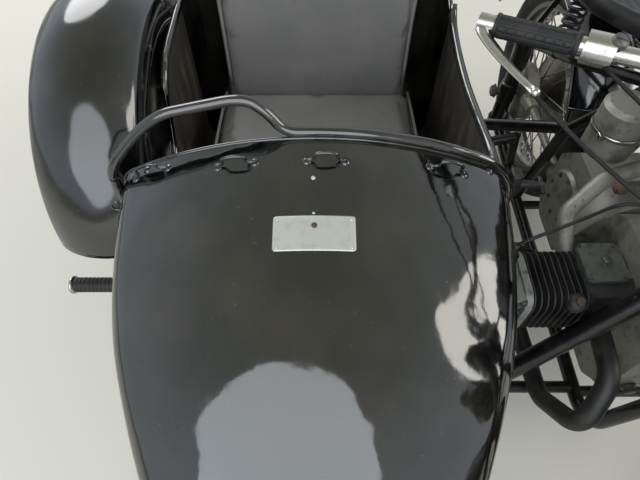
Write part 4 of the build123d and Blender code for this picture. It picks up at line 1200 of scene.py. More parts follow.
    def dome(
        self, name: str, across: float, y: float, radius: float, height: float, lift: float = 0.0
    ) -> Piece:
        """Domed head on the nose: height at a radius r is height * (1 - (r / radius)^2.5).

        Args:
            name: Name of the piece.
            across: Distance from the body's middle plane.
            y: Place along the machine.
            radius: Radius of the head.
            height: Height of the dome.
            lift: How far its rim stands over the sheet.
        Returns:
            The head.
        """
        share = np.linspace(0, 1, 7)
        profile = np.stack([radius * share, lift + height * (1 - share**2.5)], 1)
        profile = np.vstack([profile, [[radius, -0.001]]])
        return turned(name, profile, tuple(self.top(across, y)), tuple(self.normal(across, y)), 20)

    def build(self) -> None:
        """Builds the nose and all that is fixed on it."""
        skin = dress(self.skin(), ENAMEL)
        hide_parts("car_nose")
        dress(self.edge_bead(), ENAMEL)
        for piece in self.data_plate():
            dress(piece, PLATE_ALUMINIUM)
        dress(self.dome("plate_middle_screw", 0.0, -0.226, 0.0042, 0.0026, 0.0016), RUSTY_STEEL)
        odd = [self.dome("a", -0.001, -0.207, 0.0022, 0.0012), self.dome("b", -0.002, -0.150, 0.0035, 0.002)]
        dress(joined("nose_odd_rivets", odd), PLATE_ALUMINIUM)


@dataclass
class CockpitRims:
    """Rolled edges of the cockpit's two sides, one low for stepping in and one high beside the rider."""

    half: float = 0.3232
    radius: float = 0.0088
    # Each row: y, z
    inner: Rows = ((-0.075, 0.664), (0, 0.674), (0.12, 0.655), (0.28, 0.64), (0.44, 0.656), (0.476, 0.69))
    outer: Rows = (
        (-0.075, 0.664), (-0.056, 0.590), (-0.010, 0.512), (0.070, 0.496), (0.170, 0.506),
        (0.205, 0.580), (0.222, 0.652), (0.280, 0.688), (0.420, 0.694), (0.476, 0.692),
    )

    def build(self) -> None:
        """Builds the rolls over the walls' edges."""
        for name, side, rows in (("inner", Side.LEFT, self.inner), ("outer", Side.RIGHT, self.outer)):
            route = np.column_stack([np.full(len(rows), CAR_X + side.value * self.half), rows])
            roll = tube(f"cockpit_roll_{name}", rounded_route(route, 4), self.radius, 18, level=(1.0, 0.0, 0.0))
            dress(roll, ENAMEL)


# Mudguards


@dataclass
class GuardValance:
    """Flat inner panel of the sidecar's guard, which closes the gap beside the body, and the lamp cable on it."""

    x: float = -0.6605
    centre: tuple[float, float] = (0.330, 0.393)
    cable_radius: float = 0.0027
    cable_reach: float = 0.327
    clips: tuple[int, ...] = (8, 20, 32, 44, 54)

    def around(self, radius: Array, angle: Array, x: Array) -> Array:
        """Points at a radius and an angle round the guard's centre."""
        return np.stack([x, self.centre[0] + radius * np.cos(angle), self.centre[1] + radius * np.sin(angle)], -1)

    def build(self) -> None:
        """Panel: x swings by 2.2 mm * sin(5 a + 0.6) * sin(36 r); cable: radius = reach + 4 mm * sin(9 a)."""
        angle, radius = np.meshgrid(np.radians(np.linspace(6, 172, 100)), np.linspace(0.135, 0.345, 16), indexing="ij")
        bulge = 0.0022 * np.sin(angle * 5 + 0.6) * np.sin(radius * 36)
        panel = surface("guard_valance", self.around(radius, angle, self.x + bulge - 0.0022))
        dress(thicken(panel, 0.0016, 0.0), GUARD_ENAMEL)
        turn = np.radians(np.linspace(12, 176, 60))
        route = self.around(self.cable_reach + 0.004 * np.sin(turn * 9), turn, np.full(60, self.x + 0.0035))
        dress(tube("guard_lamp_cable", route, self.cable_radius, 10), CABLE_COVER)
        clips = [rounded_block(f"clip_{i}", tuple(route[i]), (0.009, 0.007, 0.012), 0.0018) for i in self.clips]
        dress(joined("cable_clips", clips), GREY_STEEL)


@dataclass
class Mudguard:
    """Sheet mudguard: an arched strip with straight skirts, rolled round a wheel, its edges wired.

    Angles are in degrees, from straight back up and over. The node is the CAD part that the sheet replaces, if any.
    """

    name: str
    node: str
    body: Body
    centre: Point
    crown: float
    half: float
    skirt: float
    first: float
    sweep: float
    tail: float = 0.0
    arch: float = 0.042
    sheet: float = 0.0022
    wire: float = 0.0032
    wave: float = 0.0009

    def section(self) -> Array:
        """Half skirt, arch and half skirt; the arch is part of a circle.

        Returns:
            Rows of radius and offset.
        """
        bow = (self.half**2 + self.arch**2) / (2 * self.arch)
        offset = np.linspace(-self.half, self.half, 45)
        radius = self.crown - bow + np.sqrt(bow**2 - offset**2)
        skirt = np.linspace(self.skirt, self.crown - self.arch, 8)[:-1]
        side = np.full(skirt.size, self.half)
        radius = np.concatenate([skirt, radius, skirt[::-1]])
        offset = np.concatenate([-side, offset, side])
        soft = np.stack([radius, offset], 1)
        soft[4:-4] = (soft[3:-5] + 2 * soft[4:-4] + soft[5:-3]) / 4
        return soft

    def grid(self) -> Array:
        """Section carried round the axle, y = centre + radius * cos a, z = centre + radius * sin a, and its tail.

        Returns:
            Points as places round the wheel x places across x 3.
        """
        section = self.section()
        angle = np.radians(self.first + np.linspace(0, self.sweep, 120))
        way = np.stack([np.zeros_like(angle), np.cos(angle), np.sin(angle)], 1)
        grid = np.asarray(self.centre) + section[None, :, 0, None] * way[:, None]
        grid[..., 0] += section[None, :, 1]
        wave = self.wave * np.sin(angle * 17)[:, None] * np.cos(section[None, :, 1] * 31)
        grid -= wave[..., None] * way[:, None] * (np.abs(section[:, 1]) < self.half * 0.9)[None, :, None]
        if self.tail:
            back = np.array([0.0, math.sin(angle[0]), -math.cos(angle[0])])
            reach = np.linspace(self.tail, 0, 16)[:-1]
            grid = np.concatenate([grid[:1] + reach[:, None, None] * back, grid])
        return grid

    def build(self) -> None:
        """Builds the strip and the wire in its edges."""
        grid = self.grid()
        strip = dress(thicken(surface(self.name, grid), self.sheet, 1.0), GUARD_ENAMEL, self.body)
        if self.node:
            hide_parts(self.node)
        rim = np.concatenate([grid[:, 0], grid[-1, 1:], grid[-2::-1, -1], grid[0, -2::-1]])
        middle = rim.mean(axis=0)
        wire = tube(f"{self.name}_wired_edge", rim + unit(middle - rim) * 0.001, self.wire, 8)
        dress(wire, GUARD_ENAMEL, self.body)


# Tyres and wheels


@dataclass
class Tyre:
    """Tyre with a road tread: side ribs, shoulder blocks and zigzag grooves, inside the CAD tyre's outline."""

    body: Body
    centre: Point
    groove: float = 0.0055
    blocks: int = 56
    zigzag: float = 0.0035
    zigzag_at: float = 0.0125
    shoulder_from: float = 0.017
    tread_from: float = 0.309
    rib: float = 0.0009
    rib_at: float = 0.276
    # Each row: radius, offset, from one bead to the crown
    knots: Rows = (
        (0.250, -0.0335), (0.262, -0.0395), (0.285, -0.048), (0.305, -0.0455),
        (0.319, -0.037), (0.3285, -0.02), (0.333, 0.0),
    )

    def outline(self) -> Array:
        """Spline through the knots and their mirror image.

        Returns:
            Rows of radius and offset from one bead to the other.
        """
        knots = np.array(self.knots)
        knots = np.vstack([knots, knots[-2::-1] * [1, -1]])
        gone = np.concatenate([[0], np.cumsum(np.linalg.norm(np.diff(knots, axis=0), axis=1))])
        return smooth_rows(np.column_stack([gone, knots]), np.linspace(0, gone[-1], 57))

    def build(self) -> None:
        """Depth = groove in the last fifth of each block's pitch on the shoulders, and on the zigzag lines."""
        outline = self.outline()
        turn = np.linspace(0, 2 * np.pi, self.blocks * 10, endpoint=False)
        offset = outline[None, :, 1]
        wave = (turn[:, None] * self.blocks / (2 * np.pi)) % 1.0
        zigzag = self.zigzag * (np.abs(wave - 0.5) * 4 - 1)
        outer = np.abs(np.abs(offset) - self.zigzag_at - zigzag) < 0.0022
        lines = outer | (np.abs(offset - zigzag * 0.6) < 0.0012)
        cut = (wave > 0.8) & (np.abs(offset) > self.shoulder_from)
        tread = np.clip((outline[None, :, 0] - self.tread_from) / 0.004, 0, 1)
        radius = outline[None, :, 0] - self.groove * np.where(lines | cut, 1.0, 0.0) * tread
        rib = self.rib * (np.abs(outline[None, :, 0] - self.rib_at) < 0.0035)
        across = np.broadcast_to(offset - np.sign(offset) * (0.0012 - rib), radius.shape)
        around = [across, radius * np.cos(turn)[:, None], radius * np.sin(turn)[:, None]]
        grid = np.stack([middle + part for middle, part in zip(self.centre, around)], -1)
        grid[..., 2] = np.maximum(grid[..., 2], 0.0)
        stem = self.body.value.removesuffix("_wheel")
        piece = dress(surface(f"{stem}_tyre_cover", grid, wrap_rows=True), TYRE_RUBBER, self.body)
        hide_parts(f"{stem}_tyre")


@dataclass
class WheelFittings:
    """Spoke nipples and the hub bolts of one wheel."""

    body: Body
    centre: Point
    spokes: int = 40
    spoke_radius: float = 0.2265
    spoke_offset: float = 0.0055
    nipple: tuple[float, float] = (0.007, 0.011)
    bolts: int = 6
    bolt_radius: float = 0.043
    bolt: tuple[float, float] = (0.010, 0.005)
    hub_face: float = 0.046

    def ways(self, count: int) -> Array:
        """Directions that share a turn about the axle."""
        turn = np.arange(count) * 2 * np.pi / count
        return np.stack([np.zeros(count), np.cos(turn), np.sin(turn)], 1)

    def build(self) -> None:
        """Places a nipple where each spoke meets the rim, and a ring of bolts on the hub."""
        way = self.ways(self.spokes)
        places = np.asarray(self.centre) + way * self.spoke_radius
        places[:, 0] += self.spoke_offset * (-1.0) ** np.arange(self.spokes)
        dress(hex_heads(f"{self.body.value}_nipples", places, -way, *self.nipple), BRIGHT_STEEL, self.body)
        places = np.asarray(self.centre) + self.ways(self.bolts) * self.bolt_radius - [self.hub_face, 0, 0]
        dress(hex_heads(f"{self.body.value}_hub_bolts", places, (-1.0, 0, 0), *self.bolt), GREY_STEEL, self.body)


# Handlebar, its grips and levers


def on_side(point: Sequence[float], side: Side) -> Point:
    """Takes a point of the machine's left half, measured from its middle plane, to its place on either side."""
    return (BIKE_X + side.value * point[0], point[1], point[2])


@dataclass
class Handlebar:
    """Rubber grips with a pattern of raised oblongs, throttle drum, lever pivots and levers, all from the left side."""

    end: Point = (0.447, 0.042, 0.900)
    elbow: Point = (0.225, -0.082, 0.912)
    length: float = 0.123
    radius: float = 0.0155
    lever_corners: Rows = (
        (0.458, 0.049, 0.8985), (0.468, 0.031, 0.897), (0.444, -0.025, 0.886), (0.411, -0.088, 0.880),
    )
    lever_ball: float = 0.0070
    drum_profile: Rows = (
        (0.0, 0.0), (0.0215, 0.0), (0.0228, 0.0015), (0.0228, 0.012), (0.0212, 0.014), (0.0212, 0.028),
        (0.0228, 0.030), (0.0228, 0.039), (0.021, 0.0405), (0.0, 0.0405),
    )
    cap_profile: Rows = ((0.0115, 0.0), (0.0115, 0.0105), (0.0104, 0.0118), (0.0, 0.0122))
    cap_axis: Point = (0.25, -0.35, 0.9)
    oblong: float = 0.0135
    columns: int = 10
    flutes: int = 40
    pattern: float = 0.0011
    collar: float = 0.0024
    pivot: Point = (0.020, 0.018, 0.013)

    def along(self, side: Side) -> tuple[Array, Array]:
        """Bar's end and its direction inwards, on one side."""
        end = np.array(on_side(self.end, side))
        return end, unit(on_side(self.elbow, side) - end)

    def grip(self, side: Side) -> Piece:
        """Radius = base + 1.1 mm on oblongs, in every second column, and on flutes between; a collar at each end.

        Args:
            side: Side of the machine.
        Returns:
            The grip.
        """
        end, way = self.along(side)
        distance = np.linspace(0.0025, self.length, 190)
        turn = np.linspace(0, 2 * np.pi, 144, endpoint=False)
        rows = (distance[:, None] - 0.008) / self.oblong
        columns = turn[None, :] / (2 * np.pi) * self.columns
        patterned = (rows > 0) & (distance[:, None] < self.length - 0.010)
        on_row = np.clip((0.5 - np.abs(rows % 1 - 0.5) - 0.06) * 16, 0, 1)
        on_column = np.clip((0.5 - np.abs(columns % 1 - 0.5) - 0.10) * 10, 0, 1)
        flutes = 0.5 + 0.5 * np.cos(turn * self.flutes)[None, :]
        raised = self.pattern * np.where(np.floor(columns) % 2 == 0, on_row * on_column, flutes) * patterned
        collar = self.collar * ((distance < 0.0075) | (distance > self.length - 0.006))[:, None]
        radius = self.radius + raised + collar
        helper = unit(np.cross(way, [0.0, 0.0, 1.0]))
        ring = np.cos(turn)[:, None] * helper + np.sin(turn)[:, None] * np.cross(helper, way)
        grid = end + distance[:, None, None] * way + radius[..., None] * ring[None]
        return surface(f"grip_{side.label}", grid, wrap_columns=True, caps=True)

    def lever(self, side: Side) -> Piece:
        """Forged lever that tapers to a ball: half its width falls from 9.8 to 7.2 mm.

        Args:
            side: Side of the machine.
        Returns:
            The lever.
        """
        route = rounded_route([on_side(corner, side) for corner in self.lever_corners])
        arm = tube(f"lever_arm_{side.label}", route, 0.0098 - 0.0026 * np.linspace(0, 1, len(route)), 20, 0.45)
        turn = np.linspace(0, np.pi, 13)
        profile = self.lever_ball * np.stack([np.sin(turn), -np.cos(turn)], 1)
        ball = turned(f"lever_ball_{side.label}", profile, tuple(route[-1]), tuple(route[-1] - route[-2]), 24)
        return joined(f"lever_{side.label}", [arm, ball])

    def throttle(self) -> list[Piece]:
        """Drum of the twist grip, and the round cap on its side with a slot across it.

        Returns:
            Drum, cap and slot.
        """
        end, way = self.along(Side.RIGHT)
        start = end + way * 0.129
        drum = turned("throttle_drum", self.drum_profile, tuple(start), tuple(way), 64)
        up = unit(np.array(self.cap_axis))
        place = start + way * 0.030 + up * 0.015
        cap = turned("throttle_cap", self.cap_profile, tuple(place), tuple(up), 40)
        slot = rounded_block("cap_slot", (0, 0, 0), (0.018, 0.0024, 0.002), 0.0006)
        across = unit(np.cross(up, [0, 1, 0]))
        points = np.array([v.co for v in slot.data.vertices]) @ np.array([across, np.cross(up, across), up])
        slot.data.vertices.foreach_set("co", (points + place + up * 0.0119).ravel())
        return [drum, cap, slot]

    def build(self) -> None:
        """Builds both sides."""
        for side in Side:
            dress(self.grip(side), GRIP_RUBBER, Body.FORK)
            lever = dress(self.lever(side), BRIGHT_STEEL, Body.FORK)
            end, way = self.along(side)
            pivot = rounded_block(f"lever_pivot_{side.label}", tuple(end - way * 0.012), self.pivot, 0.003)
            dress(pivot, BRIGHT_STEEL, Body.FORK)
            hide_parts("hand_levers")
        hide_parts("grips")
        drum, cap, slot = self.throttle()
        dress(drum, GREY_STEEL, Body.FORK)
        dress(cap, GREY_STEEL, Body.FORK)
        dress(slot, BAKELITE, Body.FORK)


# Seat


def bake(piece: Piece) -> None:
    """Puts the result of a piece's modifiers into its mesh and removes them.

    Args:
        piece: The piece, which is changed.
    """
    evaluated = piece.evaluated_get(bpy.context.evaluated_depsgraph_get())
    mesh = bpy.data.meshes.new_from_object(evaluated)
    piece.modifiers.clear()
    piece.data = mesh


@dataclass
class Cushion:
    """Padded seat or backrest: a rounded block, swollen by a cloth simulation."""

    name: str
    node: str
    centre: Point
    size: Point
    radius: float
    swell: float
    lean: float = 0.0
    voxel: float = 0.006
    frames: int = 20
    pressure: float = 4.0
    tension: float = 12.0
    bending: float = 0.6

    def shape(self) -> Piece:
        """Block with rounded edges, finely divided, leaned back by y + lean * (z - centre).

        Returns:
            The block.
        """
        piece = rounded_block(self.name, self.centre, self.size, self.radius, 5)
        points = np.array([v.co for v in piece.data.vertices])
        points[:, 1] += self.lean * (points[:, 2] - self.centre[2])
        piece.data.vertices.foreach_set("co", points.ravel())
        return piece

    def stuff(self, piece: Piece) -> None:
        """Voxel remesh and cloth pressure, both applied, and a cap on how far a point moves.

        Args:
            piece: The block, which is changed.
        """
        remesh = piece.modifiers.new("remesh", "REMESH")
        remesh.mode = "VOXEL"
        remesh.voxel_size = self.voxel
        bake(piece)
        start = np.array([v.co for v in piece.data.vertices])
        cloth = piece.modifiers.new("cloth", "CLOTH")
        settings = cloth.settings
        settings.use_pressure = True
        settings.uniform_pressure_force = self.pressure
        settings.effector_weights.gravity = 0.0
        settings.quality = 5
        settings.tension_stiffness = self.tension
        settings.bending_stiffness = self.bending
        cloth.point_cache.frame_end = self.frames
        for frame in range(1, self.frames + 1):
            bpy.context.scene.frame_set(frame)
        bake(piece)
        bpy.context.scene.frame_set(1)
        points = np.array([v.co for v in piece.data.vertices])
        move = points - start
        length = np.linalg.norm(move, axis=1, keepdims=True)
        points = start + move * np.minimum(1, self.swell / np.maximum(length, 1e-9))
        piece.data.vertices.foreach_set("co", points.ravel())

    def build(self) -> None:
        """Builds the cushion and replaces its CAD solid."""
        piece = self.shape()
        self.stuff(piece)
        piece.data.polygons.foreach_set("use_smooth", np.full(len(piece.data.polygons), True))
        dress(piece, VINYL)
        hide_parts(self.node)


@dataclass
class Seat:
    """Passenger's seat: a cushion and a leaning backrest of vinyl leathercloth with piped edges."""

    lean: float = 0.07
    cushion: Point = (CAR_X, 0.257, 0.4175)
    cushion_size: Point = (0.516, 0.416, 0.095)
    back: Point = (CAR_X, 0.518, 0.545)
    back_size: Point = (0.512, 0.060, 0.424)
    piping_place: tuple[float, float] = (0.232, 0.4785)
    piping_heights: tuple[float, ...] = (0.470, 0.55, 0.65, 0.715, 0.742)
    rim: Rows = ((0.246, 0.075, 0.459), (0.251, 0.26, 0.462), (0.246, 0.45, 0.459))

    def build(self) -> None:
        """Builds the two cushions and their piping."""
        pads = (
            Cushion("seat_cushion_pad", "seat_cushion", self.cushion, self.cushion_size, radius=0.036, swell=0.011),
            Cushion("seat_back_pad", "seat_back", self.back, self.back_size, radius=0.026, swell=0.012, lean=self.lean),
        )
        for pad in pads:
            pad.build()
        half, depth = self.piping_place
        for side in Side:
            x = CAR_X + side.value * half
            route = [(x, depth + self.lean * (z - self.back[2]), z) for z in self.piping_heights]
            route = rounded_route(route, 2)
            dress(tube(f"back_piping_{side.label}", route, 0.0042, 10, level=(0.0, 1.0, 0.0)), VINYL)
            route = rounded_route([(CAR_X + side.value * x, y, z) for x, y, z in self.rim], 3)
            dress(tube(f"cushion_piping_{side.label}", route, 0.004, 10), VINYL)

# Grab rail and staples


@dataclass
class GrabRail:
    """Hand rail bent over the nose's edge, its pads and bolts, and the four staples for the cover's straps."""

    nose: Nose
    radius: float = 0.0085
    half: float = 0.325
    bow: float = 0.6638
    bow_z: float = 0.1262
    # Raised loop of the rail, and the places along the nose's edge that it follows after that
    loop: Rows = (
        (-0.245, -0.069, 0.822), (-0.175, -0.064, 0.835), (-0.104, -0.059, 0.848), (-0.072, -0.066, 0.829),
    )
    followed: tuple[float, ...] = (-0.045, 0.0, 0.06, 0.12, 0.18, 0.24, 0.293)
    pad_y: float = EDGE_Y - 0.026
    pad_z: float = 0.650
    pad_size: Point = (0.0055, 0.040, 0.034)
    # Each row: distance from the body's middle plane, y
    staples: Rows = ((-0.263, -0.099), (-0.120, -0.119), (0.017, -0.121), (0.207, -0.111))
    # Each row: distance from the staple's middle, height over the sheet
    staple_corners: Rows = (
        (-0.031, 0.0025), (-0.0175, 0.004), (-0.0175, 0.021), (0.0175, 0.021), (0.0175, 0.004), (0.031, 0.0025),
    )
    # Each row: distance out from the body's side, height over the eye's foot
    eye_corners: Rows = ((-0.004, 0.0), (0.009, 0.002), (0.012, 0.011), (0.009, 0.020), (-0.004, 0.022))

    def arch(self, across: float) -> Point:
        """Point over the nose's edge: z = centre + sqrt((bow + lift)^2 - across^2)."""
        return (across, EDGE_Y, self.bow_z + math.sqrt((self.bow + self.radius - 0.0015) ** 2 - across**2))

    def rail(self) -> Piece:
        """Tube along its corners, each one rounded by cutting.

        Returns:
            The rail.
        """
        foot = self.half + self.radius - 0.0015
        corners = [(-foot, -0.093, 0.640), (-foot, -0.091, 0.690), (-foot, -0.089, 0.735), *self.loop]
        corners += [self.arch(across) for across in self.followed]
        corners += [(foot, -0.085, 0.690), (foot, -0.093, 0.640)]
        return tube("grab_rail_tube", rounded_route(np.array(corners) + [CAR_X, 0, 0]), self.radius, 24)

    def staple(self, name: str, across: float, y: float) -> Piece:
        """Wire staple on two small feet.

        Args:
            name: Name of the piece.
            across: Distance from the body's middle plane.
            y: Place along the machine.
        Returns:
            The staple.
        """
        up = self.nose.normal(across, y)
        corners = [self.nose.top(across + offset, y) + up * height for offset, height in self.staple_corners]
        loop = tube(f"{name}_loop", rounded_route(corners, 3), 0.0026, 12, level=(0.0, 1.0, 0.0))
        feet = [self.nose.dome(f"{name}_foot_{i}", across + d, y, 0.0075, 0.003) for i, d in enumerate((-0.029, 0.029))]
        return joined(name, [loop, *feet])

    def pads(self) -> Piece:
        """Plates under the rail's feet.

        Returns:
            Both plates as one piece.
        """
        places = [(CAR_X + side.value * (self.half + 0.003), self.pad_y, self.pad_z) for side in Side]
        pads = [rounded_block(f"rail_pad_{i}", place, self.pad_size, 0.002) for i, place in enumerate(places)]
        return joined("rail_pads", pads)

    def pad_bolts(self) -> Piece:
        """Two bolts on each pad.

        Returns:
            The four heads.
        """
        signs = [side.value for side in Side for _ in (0, 1)]
        shifts = (-0.013, 0.013) * 2
        x = [CAR_X + sign * (self.half + 0.0055) for sign in signs]
        places = [(place, self.pad_y + shift, self.pad_z) for place, shift in zip(x, shifts)]
        return hex_heads("rail_pad_bolts", places, [(sign, 0, 0) for sign in signs], 0.010, 0.005)

    def clamp(self) -> Piece:
        """Body, stub and pin of the clamp at the rail's left foot.

        Returns:
            The clamp.
        """
        x = CAR_X + self.half + 0.011
        stub = [(x, EDGE_Y - 0.010, 0.692), (x + 0.050, EDGE_Y - 0.013, 0.688)]
        pin = [(x + 0.046, EDGE_Y - 0.030, 0.688), (x + 0.047, EDGE_Y + 0.006, 0.689)]
        parts = [
            rounded_block("clamp_body", (x, EDGE_Y - 0.006, 0.700), (0.019, 0.026, 0.030), 0.005),
            tube("clamp_stub", stub, 0.0065, 16),
            tube("clamp_pin", pin, 0.004, 12),
        ]
        return harden(joined("rail_clamp", parts))

    def eyes(self) -> Piece:
        """Two wire eyes on the body's outer side.

        Returns:
            Both eyes as one piece.
        """
        loops = []
        for foot in (0.640, 0.672):
            corners = [(CAR_X - self.half - out, -0.128, foot + height) for out, height in self.eye_corners]
            loops.append(tube(f"eye_{foot}", rounded_route(corners, 3), 0.0017, 10, level=(0.0, 1.0, 0.0)))
        return joined("outer_side_eyes", loops)

    def build(self) -> None:
        """Builds the rail, its fixings and the staples."""
        rail = dress(self.rail(), ENAMEL)
        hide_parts("grab_rail")
        dress(self.pads(), ENAMEL)
        dress(self.pad_bolts(), RUSTY_STEEL)
        staples = [self.staple(f"staple_{i}", *row) for i, row in enumerate(self.staples)]
        dress(joined("cover_staples", staples), ENAMEL)
        left = self.nose.dome("left_bolt", -0.272, -0.090, 0.0075, 0.004)
        right = self.nose.dome("right_bolt", 0.285, -0.088, 0.0075, 0.004)
        dress(joined("edge_bolts", [left, right]), ENAMEL)
        dress(self.clamp(), SPRING_STEEL)
        dress(self.eyes(), ENAMEL)


# Saddle, tank and lamps


@dataclass
class Saddle:
    """Moulded rubber saddle on a pressed shell, carried by two coil springs and a nose pivot."""

    low: float = 0.747
    middle_y: float = 0.39
    rib_pitch: float = 0.018
    rib_depth: float = 0.0016
    spring: Point = (0.118, 0.430, 0.0)
    coil_radius: float = 0.0205
    coil_wire: float = 0.0038
    coil_foot: float = 0.630
    coil_height: float = 0.109
    turns: int = 6
    # Right half of the outline, each row: x, y
    outline: Rows = (
        (0.0, 0.210), (0.045, 0.216), (0.084, 0.245), (0.146, 0.330), (0.162, 0.430), (0.118, 0.522), (0.0, 0.546),
    )
    # Underside and edge, each row: share of the outline, height
    rings: Rows = (
        (0.0, 0.0), (0.6, 0.0), (0.93, 0.0), (0.985, 0.005), (1.0, 0.014), (1.0, 0.024), (0.988, 0.033),
        (0.962, 0.0385), (0.92, 0.0405), (0.86, 0.0400),
    )
    foot_profile: Rows = (
        (0, 0.585), (0.0145, 0.585), (0.0145, 0.618), (0.0245, 0.622), (0.0245, 0.628), (0, 0.628),
    )
    cap_profile: Rows = ((0, 0.736), (0.0245, 0.736), (0.0245, 0.744), (0, 0.745))
    pivot: Rows = ((BIKE_X, 0.213, 0.676), (BIKE_X, 0.228, 0.712), (BIKE_X, 0.240, 0.745))

    def cover(self) -> Piece:
        """Rings inside the outline: place = middle + share * (outline - middle); the top is dished and ribbed.

        Returns:
            The cover.
        """
        right = np.array(self.outline)
        closed = np.vstack([right, right[-2:0:-1] * [-1, 1]])
        for _ in range(4):
            following = np.roll(closed, -1, axis=0)
            closed = np.stack([closed * 0.75 + following * 0.25, closed * 0.25 + following * 0.75], 1).reshape(-1, 2)
        share = np.linspace(0.82, 0.0, 22)
        rings = np.vstack([self.rings, np.stack([share, 0.0395 - 0.0085 * (1 - share**2)], 1)])
        middle = np.array([0.0, self.middle_y])
        flat = middle + rings[:, 0, None, None] * (closed[None] - middle)
        height = self.low + np.broadcast_to(rings[:, 1, None], flat.shape[:2]).copy()
        on_top = (rings[:, 0] < 0.9)[:, None] & (np.arange(len(rings)) > 8)[:, None]
        height -= self.rib_depth * on_top * (np.sin(flat[..., 0] * 2 * np.pi / self.rib_pitch) > 0.72)
        grid = np.concatenate([BIKE_X + flat[..., :1], flat[..., 1:], height[..., None]], -1)
        return surface("saddle_cover", grid, wrap_columns=True)

    def coil(self, side: Side) -> Piece:
        """Coil: radius * (cos a, sin a), its height growing with a, on a cup and under a cup.

        Args:
            side: Side of the machine.
        Returns:
            The spring with its cups.
        """
        axis = on_side(self.spring, side)
        turn = np.linspace(0, 2 * np.pi * self.turns, 260)
        ring = np.stack([np.cos(turn), np.sin(turn)], 1) * self.coil_radius + axis[:2]
        route = np.column_stack([ring, self.coil_foot + self.coil_height * turn / turn[-1]])
        coil = tube(f"coil_{side.label}", route, self.coil_wire, 10)
        foot = turned(f"coil_foot_{side.label}", self.foot_profile, axis, (0, 0, 1))
        cap = turned(f"coil_cap_{side.label}", self.cap_profile, axis, (0, 0, 1))
        return joined(f"saddle_spring_{side.label}", [coil, foot, cap])

    def build(self) -> None:
        """Builds cover, springs and pivot."""
        cover = dress(self.cover(), SADDLE_RUBBER)
        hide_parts("saddle")
        pivot = tube("saddle_pivot", self.pivot, 0.011, 20)
        piece = dress(joined("saddle_coils", [*(self.coil(side) for side in Side), pivot]), SPRING_STEEL)
        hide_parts("saddle_springs")


@dataclass
class Tank:
    """Knee pads, filler cap and fuel tap of the tank."""

    # Each row: y, half width of the tank
    halves: Rows = ((-0.345, 0.070), (-0.250, 0.122), (-0.120, 0.136), (0.020, 0.116), (0.125, 0.062))
    pad_middle: tuple[float, float] = (-0.085, 0.802)
    pad_half: tuple[float, float] = (0.082, 0.031)
    pad_thick: float = 0.0055
    pad_groove: float = 0.0014
    cap_y: float = -0.230
    knurl: float = 0.0008
    knurls: int = 30
    tap_place: Point = (BIKE_X + 0.070, 0.040, 0.712)
    # Each row: radius, height
    cap_profile: Rows = (
        (0.0355, 0.890), (0.0365, 0.892), (0.0365, 0.904), (0.034, 0.9085), (0.020, 0.9095), (0.0, 0.910),
    )
    tap_profile: Rows = ((0, 0.0), (0.009, 0.0), (0.009, 0.012), (0.006, 0.014), (0.006, 0.034), (0, 0.034))

    def pad(self, side: Side) -> Piece:
        """Ribbed pad: x = tank's half width + pad_thick * (1 - u^8) * (1 - v^8), less the grooves.

        Args:
            side: Side of the machine.
        Returns:
            The pad.
        """
        u, v = np.meshgrid(np.linspace(-1, 1, 70), np.linspace(-1, 1, 34))
        corner = np.clip((np.abs(u) ** 4 + np.abs(v) ** 4) ** 0.25, 1, None)
        y = self.pad_middle[0] + self.pad_half[0] * u / corner
        z = self.pad_middle[1] + self.pad_half[1] * v / corner
        half = smooth_rows(self.halves, y.ravel()).reshape(y.shape)
        thick = self.pad_thick * (1 - u**8) * (1 - v**8)
        thick -= self.pad_groove * (np.sin(u * 44) > 0.5) * (np.abs(u) < 0.9) * (np.abs(v) < 0.8)
        grid = np.stack([BIKE_X + side.value * (half + thick - 0.001), y, z], -1)
        return thicken(surface(f"knee_pad_{side.label}", grid), 0.002)

    def cap(self) -> Piece:
        """Filler cap, whose radius falls in each knurl, where sin(knurls * a) is over 0.

        Returns:
            The cap.
        """
        turn = np.linspace(0, 2 * np.pi, 96, endpoint=False)
        rows = np.array(self.cap_profile)
        knurl = self.knurl * (np.sin(turn * self.knurls) > 0)[None, :] * np.array([0, 1, 1, 0, 0, 0])[:, None]
        radius = rows[:, :1] - knurl
        around = [BIKE_X + radius * np.cos(turn), self.cap_y + radius * np.sin(turn)]
        grid = np.stack([*around, np.broadcast_to(rows[:, 1:], radius.shape)], -1)
        return surface("filler_cap", grid, wrap_columns=True)

    def build(self) -> None:
        """Builds pads, cap and tap."""
        for side in Side:
            dress(self.pad(side), GRIP_RUBBER)
        dress(self.cap(), BRIGHT_STEEL)
        body = turned("tap_body", self.tap_profile, self.tap_place, (0, 0, 1), 20)
        lever = rounded_block("tap_lever", (BIKE_X + 0.082, 0.040, 0.720), (0.026, 0.007, 0.004), 0.0015)
        dress(joined("fuel_tap", [body, lever]), BRIGHT_STEEL)


